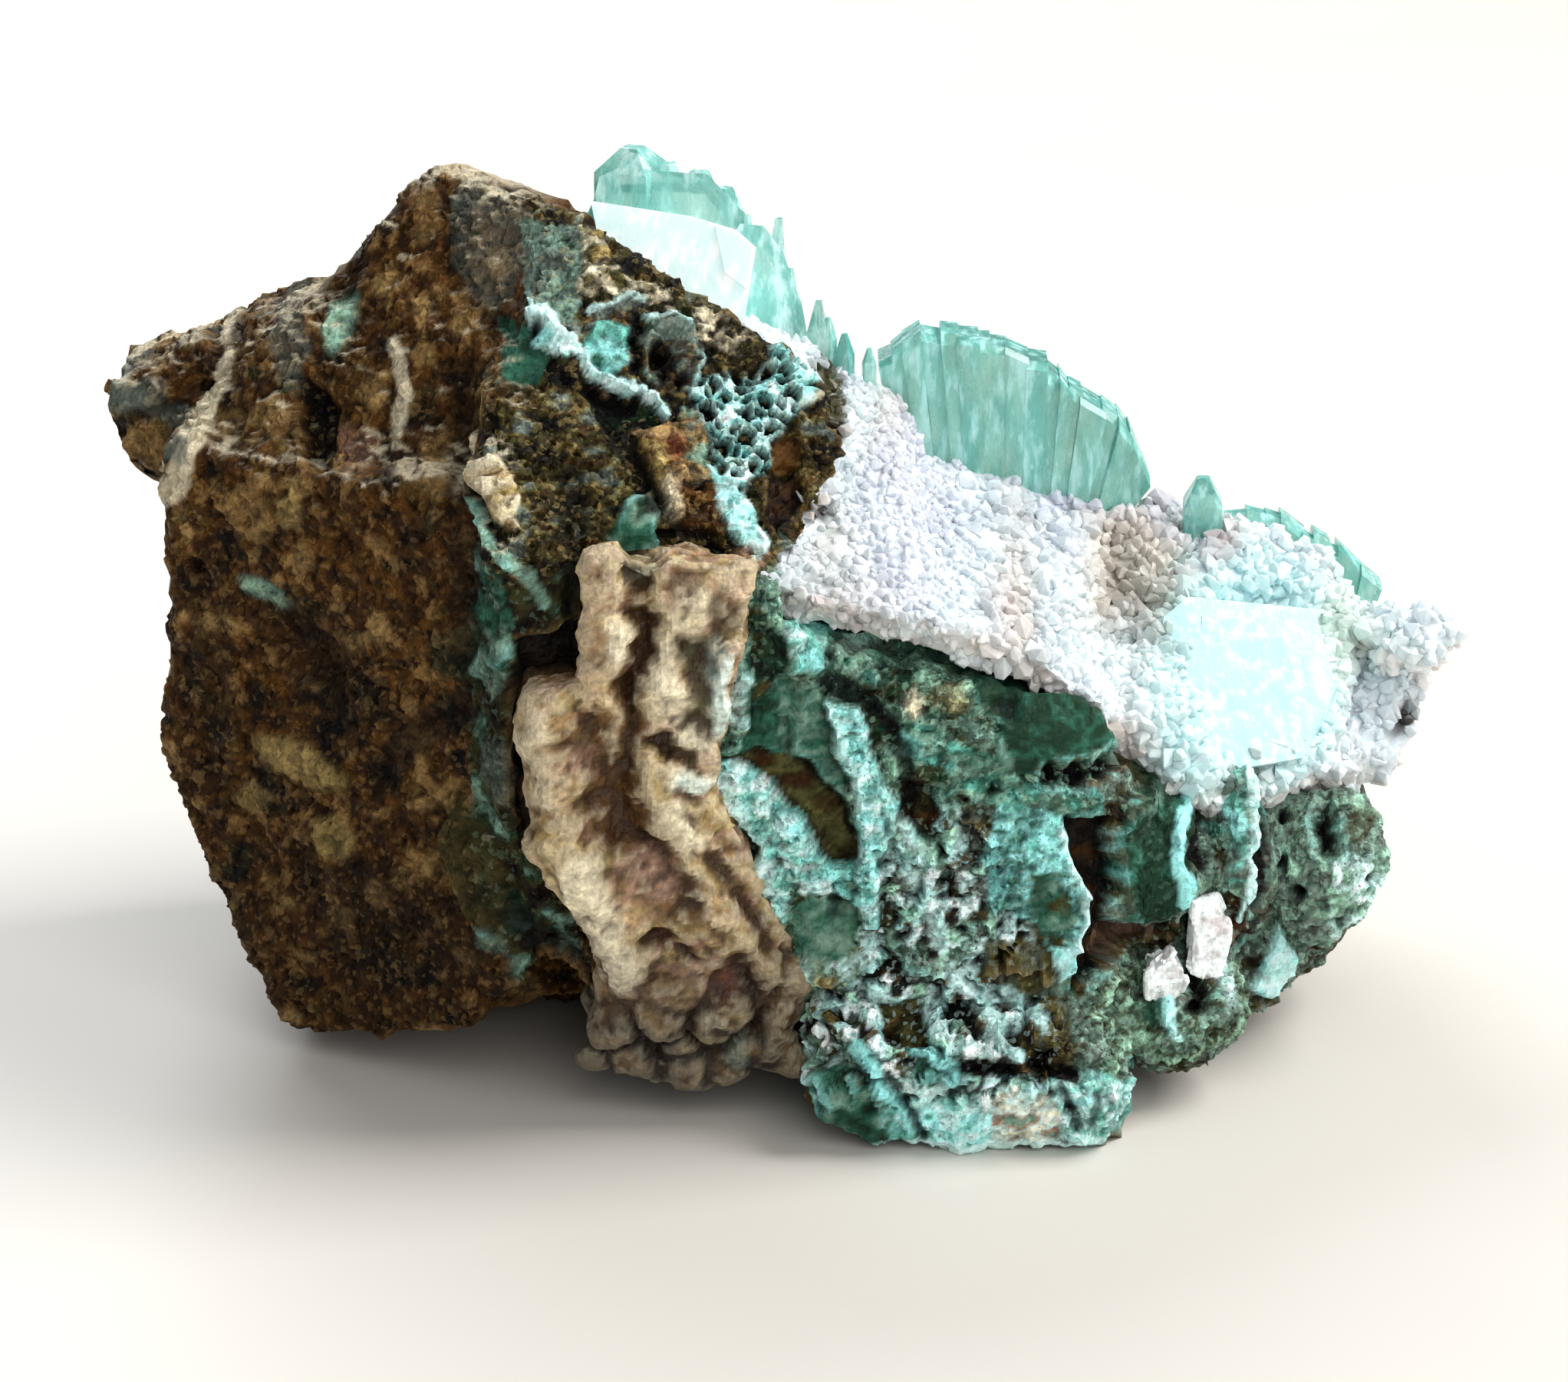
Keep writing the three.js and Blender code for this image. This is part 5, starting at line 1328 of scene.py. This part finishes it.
# ---- The fan crystal and the crystals of the rim ----
# The largest crystal is a broad plate of many upright columns grown side by side, with a stepped
# upper edge. The rim crystal is a smaller plate, and the shoulder and point crystals are single
# prisms, all of the same clear mint apophyllite with cloudy veils in it.
FAN_SPLAY, RIM_SPLAY = 0.25, 0.15     # how much closer together the columns' feet stand than their tops
COLUMN_LEAST, COLUMN_MOST = 0.6, 1.6  # mm across
FRONT_IN, REAR_IN = (0.1, 0.8), (0.3, 1.0)  # mm that its front and its back keep inside the box
SINK, DROP = (0, 0.25), (0, 0.7)      # mm that a column's top, and each side of it, stay under the edge
FALL = (0.3, 0.9)                     # mm that the front of its top falls
OVERLAP = 0.1                         # mm that a column reaches into the next
TIP_FRONT, TIP_REAR = 0.5, 0.9        # mm, how far in its top lies from the front and from the back
REAR_FALL = 0.1                       # mm that the top falls to the back
# The upper edge of a plate, in shares of its box across and up.
FAN_TOP = [(0, 0.83), (0.05, 0.88), (0.14, 1.0), (0.42, 0.95), (0.62, 0.83), (0.72, 0.70), (0.84, 0.62),
           (0.94, 0.50), (1, 0.30)]
RIM_TOP = [(0, 0.95), (0.10, 1.0), (0.42, 0.90), (0.70, 0.68), (1, 0.42)]


def plate(node, name, top, seed, splay):
    """A plate of columns that fills a node's box under a stepped upper edge."""
    chance = np.random.default_rng(seed)
    (left, near, low), (right, far, high) = spot(node, (0, 0, 0)), spot(node, (1, 1, 1))
    centre = (left + right) / 2
    columns, edge = [], left
    while edge < right - COLUMN_LEAST / 2:
        following = min(edge + chance.uniform(COLUMN_LEAST, COLUMN_MOST), right)
        front, back = near + chance.uniform(*FRONT_IN), far - chance.uniform(*REAR_IN)
        fall, sink = chance.uniform(*FALL), chance.uniform(*SINK)
        drops = chance.uniform(*DROP), chance.uniform(*DROP)
        column = []
        for x, drop in zip((edge - OVERLAP, following + OVERLAP), drops):
            height = low + (high - low) * np.interp((x - left) / (right - left), *zip(*top)) - sink - drop
            foot = centre + (x - centre) * (1 - splay)
            column += [(foot, front, low), (foot, back, low),
                       (x, front, height - fall), (x, back, height - fall),
                       (x, front + TIP_FRONT, height), (x, back - TIP_REAR, height - REAR_FALL)]
        columns.append(column)
        edge = following
    return grown_together(name, columns)


fan = plate("fan_crystal", "fan_crystal_plate", FAN_TOP, 12, FAN_SPLAY)
rim = plate("rim_crystal", "rim_crystal_plate", RIM_TOP, 14, RIM_SPLAY)
crystals = [(fan, "fan_crystal"), (rim, "rim_crystal")]
# The single crystals: node, width in mm, turn in radians.
SINGLES = [("shoulder_crystal", 2.6, 0.75), ("point_crystal_1", 1.1, 0.4), ("point_crystal_2", 0.9, 0.9)]
for node, width, turn in SINGLES:
    crystals.append((grown_together(node + "_prism", [prism(node, (0.5, 0.5, 0), 1.0, width, turn)]), node))
for piece, node in crystals:
    piece.data.materials.append(mint)
    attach(piece, "root")
    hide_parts(node)

# ---- The sunken crystal ----
# A large pale crystal that lies half buried in the crust near its front edge. It is cloudy all
# through, with clear windows, and its faces are stepped.
SUNKEN = "sunken_crystal"
SUNKEN_TIP = {"lean": 0.9, "turn": 0.25}  # how its faces lie back
sunken = grown_together("sunken_crystal_block", [
    block(SUNKEN, [(0.0, 0.50), (0.06, 0.92), (0.20, 1.0), (0.90, 0.90), (1, 0.55), (0.80, 0.26),
                   (0.20, 0.22)],
          0.440, 1.0, bulge=0.4, taper=1.15, droop=5, **SUNKEN_TIP),
    block(SUNKEN, [(0.24, 0.56), (0.27, 0.92), (0.56, 0.88), (0.60, 0.62), (0.42, 0.46)],
          0.460, 0.9, taper=1.1, droop=3, **SUNKEN_TIP),
    block(SUNKEN, [(0.52, 0.38), (0.56, 0.66), (0.82, 0.70), (0.88, 0.48), (0.72, 0.32)],
          0.381, 0.8, taper=1.1, droop=3, **SUNKEN_TIP),
], FACE_BEVEL)
sunken.data.materials.append(apophyllite_finish(
    "sunken apophyllite", clear=tint(236, 255, 255), cloud=tint(192, 234, 238), bright=tint(224, 250, 253),
    least=0.86, most=1.0, absorbed=tint(200, 244, 242), density=50.0))
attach(sunken, "root")
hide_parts(SUNKEN)

# ---- The chalcedony chips ----
# Two small chips of milky chalcedony, broken from a vein. They are held fast in the hollow between
# the lobes, where they have grown to the rock.
CHIP_STEP, CHIP_ROUNDING, CHIP_SWELL = 0.22, 3, 0.1  # mm, rounds of smoothing, mm
CHIP_FACE = 1.2                    # mm across, the broken faces of a chip
CHIP_RISE, CHIP_SINK = 0.30, 0.15  # mm that they stand out, and that all lie back
for node in ("chalcedony_chip_1", "chalcedony_chip_2"):
    chip = eroded(node, node + "_milky", CHIP_STEP, CHIP_ROUNDING, CHIP_SWELL)
    points, out = points_of(chip.data), facing_of(chip.data)
    level, own = shards(points * (1, 1, 0.5), CHIP_FACE, 401)
    move_to(chip.data, points + out * (CHIP_RISE * level - CHIP_SINK)[:, None])
    paint = mottled(points, 0.9, 411, [tint(206, 200, 200), tint(244, 252, 252), tint(250, 255, 255)])
    coated(chip.data, "paint", paint * (0.95 + 0.2 * own)[:, None])
    chip.data.materials.append(chalcedony)
    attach(chip, "root")
    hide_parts(node)
